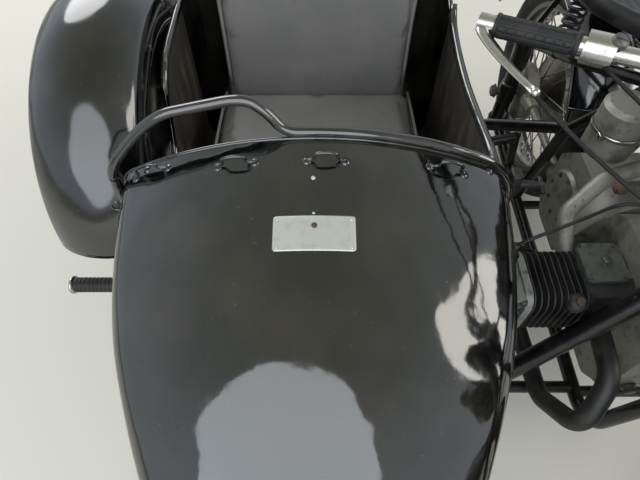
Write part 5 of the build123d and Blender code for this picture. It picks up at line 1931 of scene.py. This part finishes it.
@dataclass
class Lamps:
    """Glass, bezel, reflector and switch of the headlamp, and red lenses of the two rear lamps."""

    nodes: dict[str, Piece]
    headlamp: Point = (BIKE_X, -0.672, 0.8551)
    glass: Rows = ((0.083, -0.002), (0.082, 0.004), (0.070, 0.0085), (0.045, 0.0112), (0.0, 0.0120))
    mirror: Rows = ((0.080, 0.0023), (0.060, 0.0021), (0.0, 0.0022))
    bezel: Rows = (
        (0.0905, -0.016), (0.0912, -0.004), (0.0905, 0.002), (0.086, 0.0055), (0.082, 0.004), (0.082, -0.002),
    )
    switch: Rows = (
        (0.0, 0.0), (0.019, 0.0), (0.019, 0.006), (0.014, 0.009), (0.006, 0.010), (0.006, 0.018), (0.0, 0.019),
    )
    lens: Rows = ((0.026, 0.0), (0.025, 0.0028), (0.018, 0.0038), (0.0, 0.0040))
    ring: Rows = ((0.0298, -0.008), (0.0298, 0.002), (0.027, 0.0038), (0.0255, 0.003), (0.0255, 0.0))
    switch_place: Point = (BIKE_X, -0.585, 0.934)
    lens_depth: float = 0.004
    lens_drop: float = 0.030

    def build(self) -> None:
        """Builds the glasses on the CAD shells; the rear ones are placed by the CAD lamps' bounds."""
        ahead, behind = (0.0, -1.0, 0.0), (0.0, 1.0, 0.0)
        dress(turned("headlamp_glass", self.glass, self.headlamp, ahead, 72), CLEAR_GLASS, Body.FORK)
        dress(turned("headlamp_reflector", self.mirror, self.headlamp, ahead, 48), REFLECTOR, Body.FORK)
        dress(turned("headlamp_bezel", self.bezel, self.headlamp, ahead, 72), BRIGHT_STEEL, Body.FORK)
        switch = turned("headlamp_switch", self.switch, self.switch_place, (0, 0.25, 1), 32)
        dress(switch, BAKELITE, Body.FORK)
        points = np.array([v.co for v in self.nodes["lamps"].data.vertices])
        for name, chosen in (("machine", points[:, 0] > 0), ("sidecar", points[:, 0] < 0)):
            low, high = points[chosen].min(axis=0), points[chosen].max(axis=0)
            centre = ((low[0] + high[0]) / 2, high[1] - self.lens_depth, high[2] - self.lens_drop)
            dress(turned(f"rear_lens_{name}", self.lens, centre, behind, 40), RED_GLASS)
            dress(turned(f"rear_bezel_{name}", self.ring, centre, behind, 40), BRIGHT_STEEL)


# Engine trim, cables and fasteners


@dataclass
class EngineTrim:
    """Nuts, screws and plugs on the castings, and the clamp round the air cleaner."""

    plug_profile: Rows = (
        (0, 0.0), (0.010, 0.0), (0.010, 0.010), (0.0065, 0.012),
        (0.006, 0.030), (0.0075, 0.031), (0.0075, 0.040), (0.0, 0.041),
    )
    knob_profile: Rows = ((0.0, 0.0), (0.0085, 0.0), (0.0085, 0.003), (0.006, 0.005), (0.0, 0.0052))
    boss_profile: Rows = (
        (0.0, 0.0), (0.019, 0.0), (0.019, 0.010), (0.0155, 0.014), (0.0155, 0.020), (0.0, 0.0205),
    )
    drain_profile: Rows = (
        (0.0, 0.0), (0.017, 0.0), (0.017, 0.005), (0.012, 0.007), (0.012, 0.016), (0.0, 0.017),
    )
    strap_profile: Rows = (
        (0.0505, -0.006), (0.0519, -0.006), (0.0523, 0.0), (0.0519, 0.006), (0.0505, 0.006),
    )
    distributor_profile: Rows = (
        (0.0, 0.0), (0.030, 0.0), (0.030, 0.016), (0.024, 0.030), (0.010, 0.036), (0.0, 0.037),
    )
    intake_profile: Rows = (
        (0.0, 0.0), (0.0145, 0.0), (0.0145, 0.006), (0.011, 0.008), (0.011, 0.016), (0.0, 0.017),
    )
    # Places of the left side, from the machine's middle plane
    head_face: Point = (0.3165, -0.150, 0.440)
    plug_foot: Point = (0.322, -0.112, 0.499)
    cover: Point = (0.1545, -0.126, 0.5092)
    knob: Point = (0.148, -0.126, 0.5138)
    gearbox_face: Point = (0.1062, 0.150, 0.375)
    port: Point = (0.158, -0.214, 0.430)
    boss: Point = (0.222, -0.204, 0.484)
    boss_bolt: Point = (0.222, -0.2108, 0.5032)
    boss_axis: Point = (0.0, -0.35, 1.0)
    # Places in the middle, of the frame itself
    timing_face: Point = (BIKE_X, -0.3242, 0.430)
    bell_face: Point = (BIKE_X, -0.018, 0.400)
    drain: Point = (BIKE_X - 0.060, -0.3002, 0.300)
    cleaner: Point = (BIKE_X - 0.098, 0.122, 0.632)
    distributor: Point = (BIKE_X, -0.262, 0.597)
    intake: Point = (BIKE_X - 0.126, -0.012, 0.598)

    def ring(
        self,
        name: str,
        centre: Point,
        axis: Point,
        radius: float,
        count: int,
        across: float,
        height: float,
        start: float = 0.0,
    ) -> Piece:
        """Heads in a ring: place = centre + radius * (cos a * first + sin a * second).

        Args:
            name: Name of the piece.
            centre: Middle of the ring.
            axis: Direction of the heads.
            radius: Radius of the ring.
            count: Number of heads.
            across: Size across a head's flats.
            height: Height of a head.
            start: Angle of the first head, in radians.
        Returns:
            The heads.
        """
        along, first, second = axes_of(axis)
        turn = start + np.arange(count) * 2 * np.pi / count
        places = np.asarray(centre) + radius * (np.cos(turn)[:, None] * first + np.sin(turn)[:, None] * second)
        return hex_heads(name, places, along, across, height)

    def cylinder(self, side: Side) -> None:
        """Builds the trim of one cylinder and one side of the gearbox.

        Args:
            side: Side of the machine.
        """
        out, label = (side.value, 0, 0), side.label
        x, y, z = on_side(self.head_face, side)
        places = [(x, y + dy, z + dz) for dy in (-0.054, 0.054) for dz in (-0.050, 0.0, 0.050)]
        dress(hex_heads(f"head_nuts_{label}", places, out, 0.013, 0.009), GREY_STEEL)
        plug_axis = (side.value * 0.12, 0.15, 1.0)
        plug = turned(f"spark_plug_{label}", self.plug_profile, on_side(self.plug_foot, side), plug_axis, 24)
        dress(plug, BAKELITE)
        x, y, z = on_side(self.cover, side)
        places = [(x + dx, y + dy, z) for dx in (-0.034, 0.034) for dy in (-0.037, 0.037)]
        dress(hex_heads(f"cover_screws_{label}", places, (0, 0, 1.0), 0.006, 0.003), GREY_STEEL)
        knob = turned(f"cover_knob_{label}", self.knob_profile, on_side(self.knob, side), (0, 0, 1), 32)
        dress(knob, GREY_STEEL)
        middle = on_side(self.gearbox_face, side)
        dress(self.ring(f"gearbox_screws_{label}", middle, out, 0.056, 8, 0.009, 0.004), GREY_STEEL)
        middle = on_side(self.port, side)
        dress(self.ring(f"exhaust_nuts_{label}", middle, (0, -1, 0), 0.031, 2, 0.011, 0.008, 0.4), RUSTY_STEEL)
        boss = turned(f"chest_boss_{label}", self.boss_profile, on_side(self.boss, side), self.boss_axis, 40)
        dress(boss, CAST_IRON)
        bolt = hex_heads(f"chest_bolt_{label}", on_side(self.boss_bolt, side), self.boss_axis, 0.015, 0.009)
        dress(bolt, RUSTY_STEEL)

    def build(self) -> None:
        """Builds all the trim."""
        for side in Side:
            self.cylinder(side)
        ahead = (0, -1, 0)
        dress(self.ring("timing_screws", self.timing_face, ahead, 0.076, 8, 0.011, 0.005), GREY_STEEL)
        dress(self.ring("bell_bolts", self.bell_face, ahead, 0.146, 10, 0.012, 0.007, 0.25), GREY_STEEL)
        dress(harden(turned("drain_plug", self.drain_profile, self.drain, ahead, 6)), GREY_STEEL)
        dress(turned("cleaner_strap", self.strap_profile, self.cleaner, (0, 0, 1), 72), BRIGHT_STEEL)
        place = (self.cleaner[0] - 0.046, self.cleaner[1] - 0.030, self.cleaner[2])
        dress(rounded_block("strap_buckle", place, (0.012, 0.012, 0.016), 0.002), BRIGHT_STEEL)
        dress(turned("distributor_cap", self.distributor_profile, self.distributor, ahead, 40), BAKELITE)
        plug = turned("intake_plug", self.intake_profile, self.intake, (0.0, -0.9, 0.45), 6)
        dress(harden(plug), RUSTY_STEEL)


@dataclass
class Cables:
    """Control cables and wires: from the bar down the steering head, along the top tube and to the plugs.

    Corners are measured from the machine's middle plane; each fixed lead has its radius before them.
    """

    fixed: tuple[tuple[str, float, Rows], ...] = (
        ("plug_lead_left", 0.0036, (
            (0.004, -0.292, 0.602), (0.050, -0.318, 0.640), (0.056, -0.180, 0.655), (0.115, -0.050, 0.615),
            (0.220, -0.082, 0.580), (0.300, -0.104, 0.558), (0.327, -0.106, 0.534),
        )),
        ("plug_lead_right", 0.0036, (
            (-0.004, -0.292, 0.596), (-0.050, -0.318, 0.636), (-0.056, -0.180, 0.655), (-0.115, -0.050, 0.615),
            (-0.220, -0.082, 0.580), (-0.300, -0.104, 0.558), (-0.327, -0.106, 0.534),
        )),
        ("fuel_pipe", 0.004, (
            (0.070, 0.040, 0.712), (0.072, 0.045, 0.690), (0.060, 0.052, 0.660), (0.046, 0.052, 0.634),
        )),
        ("frame_loom", 0.005, (
            (0.026, -0.400, 0.806), (0.028, -0.300, 0.778), (0.027, -0.150, 0.748), (0.027, 0.000, 0.728),
            (0.030, 0.130, 0.690), (0.060, 0.135, 0.600), (0.118, 0.128, 0.552),
        )),
    )
    bending: tuple[tuple[str, Rows], ...] = (
        ("clutch_cable", (
            (0.452, 0.030, 0.889), (0.380, -0.160, 0.870), (0.200, -0.450, 0.865), (0.070, -0.475, 0.800),
            (0.046, -0.380, 0.745), (0.060, -0.200, 0.690), (0.080, 0.020, 0.600), (0.070, 0.100, 0.505),
        )),
        ("throttle_cable", (
            (-0.320, -0.030, 0.896), (-0.270, -0.180, 0.890), (-0.150, -0.440, 0.870), (-0.052, -0.470, 0.800),
            (-0.044, -0.330, 0.745), (-0.040, -0.120, 0.715), (-0.020, 0.030, 0.690), (0.0, 0.052, 0.664),
        )),
        ("brake_cable", (
            (-0.452, 0.030, 0.889), (-0.390, -0.150, 0.868), (-0.210, -0.440, 0.850), (-0.064, -0.478, 0.790),
            (-0.056, -0.380, 0.730), (-0.075, -0.220, 0.640),
        )),
    )
    bending_radius: float = 0.003

    def lead(self, name: str, corners: Rows, radius: float) -> Piece:
        """Round lead along softened corners."""
        return tube(name, rounded_route(np.array(corners) + [BIKE_X, 0, 0]), radius, 10)

    def build(self) -> None:
        """Builds the fixed leads on the frame, and the cables from the bar, which get their finish but ride on no body.
        """
        for name, radius, corners in self.fixed:
            dress(self.lead(name, corners, radius), CABLE_COVER)
        for name, corners in self.bending:
            piece = self.lead(name, corners, self.bending_radius)
            piece.data.materials.append(CABLE_COVER.material())
            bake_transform(piece)
            LOG.info("%s: %d points", name, len(piece.data.vertices))


@dataclass
class Rubbers:
    """Ribbed sleeves of the sidecar's step and of the two foot rests."""

    step_end: Point = (CAR_X - 0.538, -0.094, 0.362)
    rest_end: Point = (0.180, 0.060, 0.262)
    groove: float = 0.0012
    pitch: float = 0.009
    bore: float = 0.0125
    collar_profile: Rows = (
        (0.0, -0.006), (0.0195, -0.006), (0.020, -0.004), (0.020, -0.001), (0.012, 0.0), (0.012, 0.004),
    )

    def sleeve(self, name: str, start: Point, way: Point, length: float, radius: float) -> Piece:
        """Sleeve: radius = base - groove where cos(2 pi * distance / pitch) is over 0.55, but not at the ends.

        Args:
            name: Name of the piece.
            start: Its first end.
            way: Direction of its axis.
            length: Its length.
            radius: Its radius on the ribs.
        Returns:
            The sleeve.
        """
        along = np.linspace(0, length, 120)
        cut = (np.cos(along * 2 * np.pi / self.pitch) > 0.55) & (along > 0.008) & (along < length - 0.008)
        profile = np.stack([radius - self.groove * cut, along], 1)
        return turned(name, np.vstack([[[self.bore, 0.0]], profile, [[self.bore, length]]]), start, way, 48)

    def build(self) -> None:
        """Builds the sleeves and the step's bright collar."""
        step = dress(self.sleeve("step_sleeve", self.step_end, (1.0, 0, 0), 0.117, 0.0168), GRIP_RUBBER)
        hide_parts("step_rubber")
        place = (self.step_end[0] - 0.001, *self.step_end[1:])
        dress(turned("step_collar", self.collar_profile, place, (1.0, 0, 0), 40), BRIGHT_STEEL)
        for side in Side:
            start = on_side(self.rest_end, side)
            rest = self.sleeve(f"foot_rubber_{side.label}", start, (side.value, 0, 0), 0.089, 0.0174)
            dress(rest, GRIP_RUBBER)


@dataclass
class Fasteners:
    """Axle nuts, yoke nuts, bar clamps and the bare plate at the back."""

    rake: float = 27.5
    offset: float = 0.080
    plate_half: float = 0.09
    plate_height: float = 0.12
    plate_lean: float = 0.35

    def axle_nuts(self, name: str, wheel: Body, reach: float, height: float) -> Piece:
        """Nut on each end of an axle.

        Args:
            name: Name of the piece.
            wheel: The wheel on the axle.
            reach: Distance of a nut's foot from the machine's middle plane.
            height: Height of a nut.
        Returns:
            Both nuts.
        """
        places = [on_side((reach, *WHEELS[wheel][1:]), side) for side in Side]
        return hex_heads(name, places, [(side.value, 0, 0) for side in Side], 0.030, height)

    def rear_plate(self) -> Piece:
        """Sheet whose lower edge leans back: y + 0.6 * v * sin(lean), z - v * cos(lean).

        Returns:
            The plate.
        """
        edge = np.linspace(0, 1, 9)
        u, v = np.meshgrid(edge * 2 * self.plate_half - self.plate_half, edge * self.plate_height)
        y, z = 1.000 + v * math.sin(self.plate_lean) * 0.6, 0.615 - v * math.cos(self.plate_lean)
        return thicken(surface("bare_rear_plate", np.stack([BIKE_X + u, y, z], -1)), 0.0016, 0.0)

    def build(self) -> None:
        """Builds them all; up and back are the steering axis and the square to it."""
        dress(self.axle_nuts("front_axle_nuts", Body.FRONT_WHEEL, 0.126, 0.010), GREY_STEEL, Body.FORK)
        dress(self.axle_nuts("rear_axle_nuts", Body.REAR_WHEEL, 0.158, 0.012), GREY_STEEL)
        rake = math.radians(self.rake)
        up = np.array([0.0, math.sin(rake), math.cos(rake)])
        back = np.array([0.0, up[2], -up[1]])
        origin = np.array(WHEELS[Body.FRONT_WHEEL]) + back * self.offset
        caps = [origin + up * 0.711 - back * 0.052 + [side.value * 0.092, 0, 0] for side in Side]
        caps.append(origin + up * 0.713)
        dress(hex_heads("yoke_nuts", caps, up, 0.030, 0.009), BRIGHT_STEEL, Body.FORK)
        clamps = [origin + up * 0.749 + back * y + [x, 0, 0] for x in (-0.045, 0.045) for y in (-0.009, 0.009)]
        dress(hex_heads("clamp_bolts", clamps, up, 0.009, 0.006), GREY_STEEL, Body.FORK)
        dress(self.rear_plate(), ENAMEL)


# Stage and main


@dataclass(frozen=True)
class SoftLamp:
    """Round soft lamp: its place, the point that it faces, its diameter, its power in watts and its linear colour."""

    name: str
    place: Point
    aim: Point
    size: float
    power: float
    tint: Point

    def build(self) -> None:
        """Hangs the lamp: it tilts by the angle from straight down and turns to the side of its aim."""
        data = bpy.data.lights.new(self.name, "AREA")
        data.shape = "DISK"
        data.color = self.tint
        data.size = self.size
        data.energy = self.power
        lamp = bpy.data.objects.new(self.name, data)
        bpy.context.scene.collection.objects.link(lamp)
        lamp.location = self.place
        way = np.asarray(self.aim) - np.asarray(self.place)
        tilt = math.atan2(math.hypot(way[0], way[1]), -way[2])
        lamp.rotation_euler = (tilt, 0.0, math.atan2(way[1], way[0]) + math.pi / 2 + math.pi)


@dataclass
class Studio:
    """Plain pale floor and backdrop, large soft lamps and the photographer's camera."""

    floor_half: float = 90.0
    floor_colour: str = "d9d5cc"
    # The sky runs from pale blue low down to the green-grey of trees overhead
    sky_low: str = "dfe6ee"
    sky_high: str = "a5a797"
    lamps: tuple[SoftLamp, ...] = (
        SoftLamp("front_lamp", (-0.9, -3.3, 2.7), (-0.2, -0.2, 0.5), 4.8, 125.0, (0.88, 0.94, 1.0)),
        SoftLamp("side_lamp", (4.0, -0.4, 3.0), (0.2, 0.0, 0.4), 2.6, 70.0, (1.0, 0.96, 0.88)),
        SoftLamp("back_lamp", (-2.4, 3.4, 3.2), (-0.2, 0.3, 0.4), 2.8, 85.0, (1.0, 1.0, 1.0)),
    )
    camera_place: Point = (CAR_X + 0.008, -0.632, 1.305)
    pitch: float = 55.0
    lens: float = 27.17

    def floor(self) -> None:
        """Lays a level floor."""
        corners = np.array([[-1, -1, 0], [1, -1, 0], [1, 1, 0], [-1, 1, 0]]) * self.floor_half
        floor = mesh_object("studio_floor", corners, [[0, 1, 2, 3]], smooth=False)
        floor.data.materials.append(Finish("pale_studio_floor", self.floor_colour, roughness=0.9).material())

    def sky(self) -> None:
        """Sets the sky, its colour mixed by the height of the way that is looked in."""
        world = bpy.data.worlds.new("studio_world")
        bpy.context.scene.world = world
        world.use_nodes = True
        tree = world.node_tree
        tree.nodes.clear()
        place = add_node(tree, "ShaderNodeTexCoord").outputs["Generated"]
        up = add_node(tree, "ShaderNodeSeparateXYZ", links={0: place}).outputs[2]
        height = add_node(tree, "ShaderNodeMapRange", {"From Min": 0.35, "From Max": 1.0}, {"Value": up}).outputs[0]
        ends = {"data_type": "RGBA", 6: linear(self.sky_low), 7: linear(self.sky_high)}
        colour = add_node(tree, "ShaderNodeMix", ends, {0: height}).outputs[2]
        background = add_node(tree, "ShaderNodeBackground", {"Strength": 1.0}, {"Color": colour}).outputs[0]
        add_node(tree, "ShaderNodeOutputWorld", links={"Surface": background})

    def camera(self) -> None:
        """Places the photographer's camera, which looks along +Y and down by the pitch."""
        camera = bpy.data.objects.new("photo_camera", bpy.data.cameras.new("photo_camera"))
        bpy.context.scene.collection.objects.link(camera)
        camera.data.lens = self.lens
        camera.data.sensor_width = 36.0
        camera.data.clip_start = 0.02
        camera.location = self.camera_place
        camera.rotation_euler = (math.radians(90 - self.pitch), 0.0, 0.0)
        bpy.context.scene.camera = camera

    def build(self) -> None:
        """Places the floor, the world, the lamps and the camera."""
        self.floor()
        self.sky()
        for lamp in self.lamps:
            lamp.build()
        self.camera()
        bpy.context.scene.view_settings.view_transform = "Standard"




# The two guards of the motorcycle are thin skins over the CAD sheets, which stay
MUDGUARDS = (
    Mudguard(
        "car_guard_sheet", "car_mudguard", Body.FRAME, (-0.765, 0.330, 0.393),
        crown=0.4025, half=0.1055, skirt=0.300, first=4, sweep=170,
    ),
    Mudguard(
        "rear_guard_sheet", "", Body.FRAME, WHEELS[Body.REAR_WHEEL],
        crown=0.3625, half=0.0755, skirt=0.312, first=50, sweep=100, tail=0.27, sheet=0.0005,
    ),
    Mudguard(
        "front_guard_sheet", "", Body.FORK, WHEELS[Body.FRONT_WHEEL],
        crown=0.3665, half=0.0605, skirt=0.304, first=-22, sweep=192, sheet=0.0005,
    ),
)


def main() -> None:
    """Loads the frame, dresses it piece by piece and sets up the studio."""
    logging.basicConfig(level=logging.INFO, format="%(message)s")
    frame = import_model()
    Castings(frame["nodes"]).build()
    nose = Nose()
    nose.build()
    CockpitRims().build()
    GrabRail(nose).build()
    GuardValance().build()
    for guard in MUDGUARDS:
        guard.build()
    for body, centre in WHEELS.items():
        Tyre(body, centre).build()
        WheelFittings(body, centre).build()
    Handlebar().build()
    Seat().build()
    Saddle().build()
    Tank().build()
    Lamps(frame["nodes"]).build()
    EngineTrim().build()
    Cables().build()
    Rubbers().build()
    Fasteners().build()
    Studio().build()


if __name__ == "__main__":
    main()
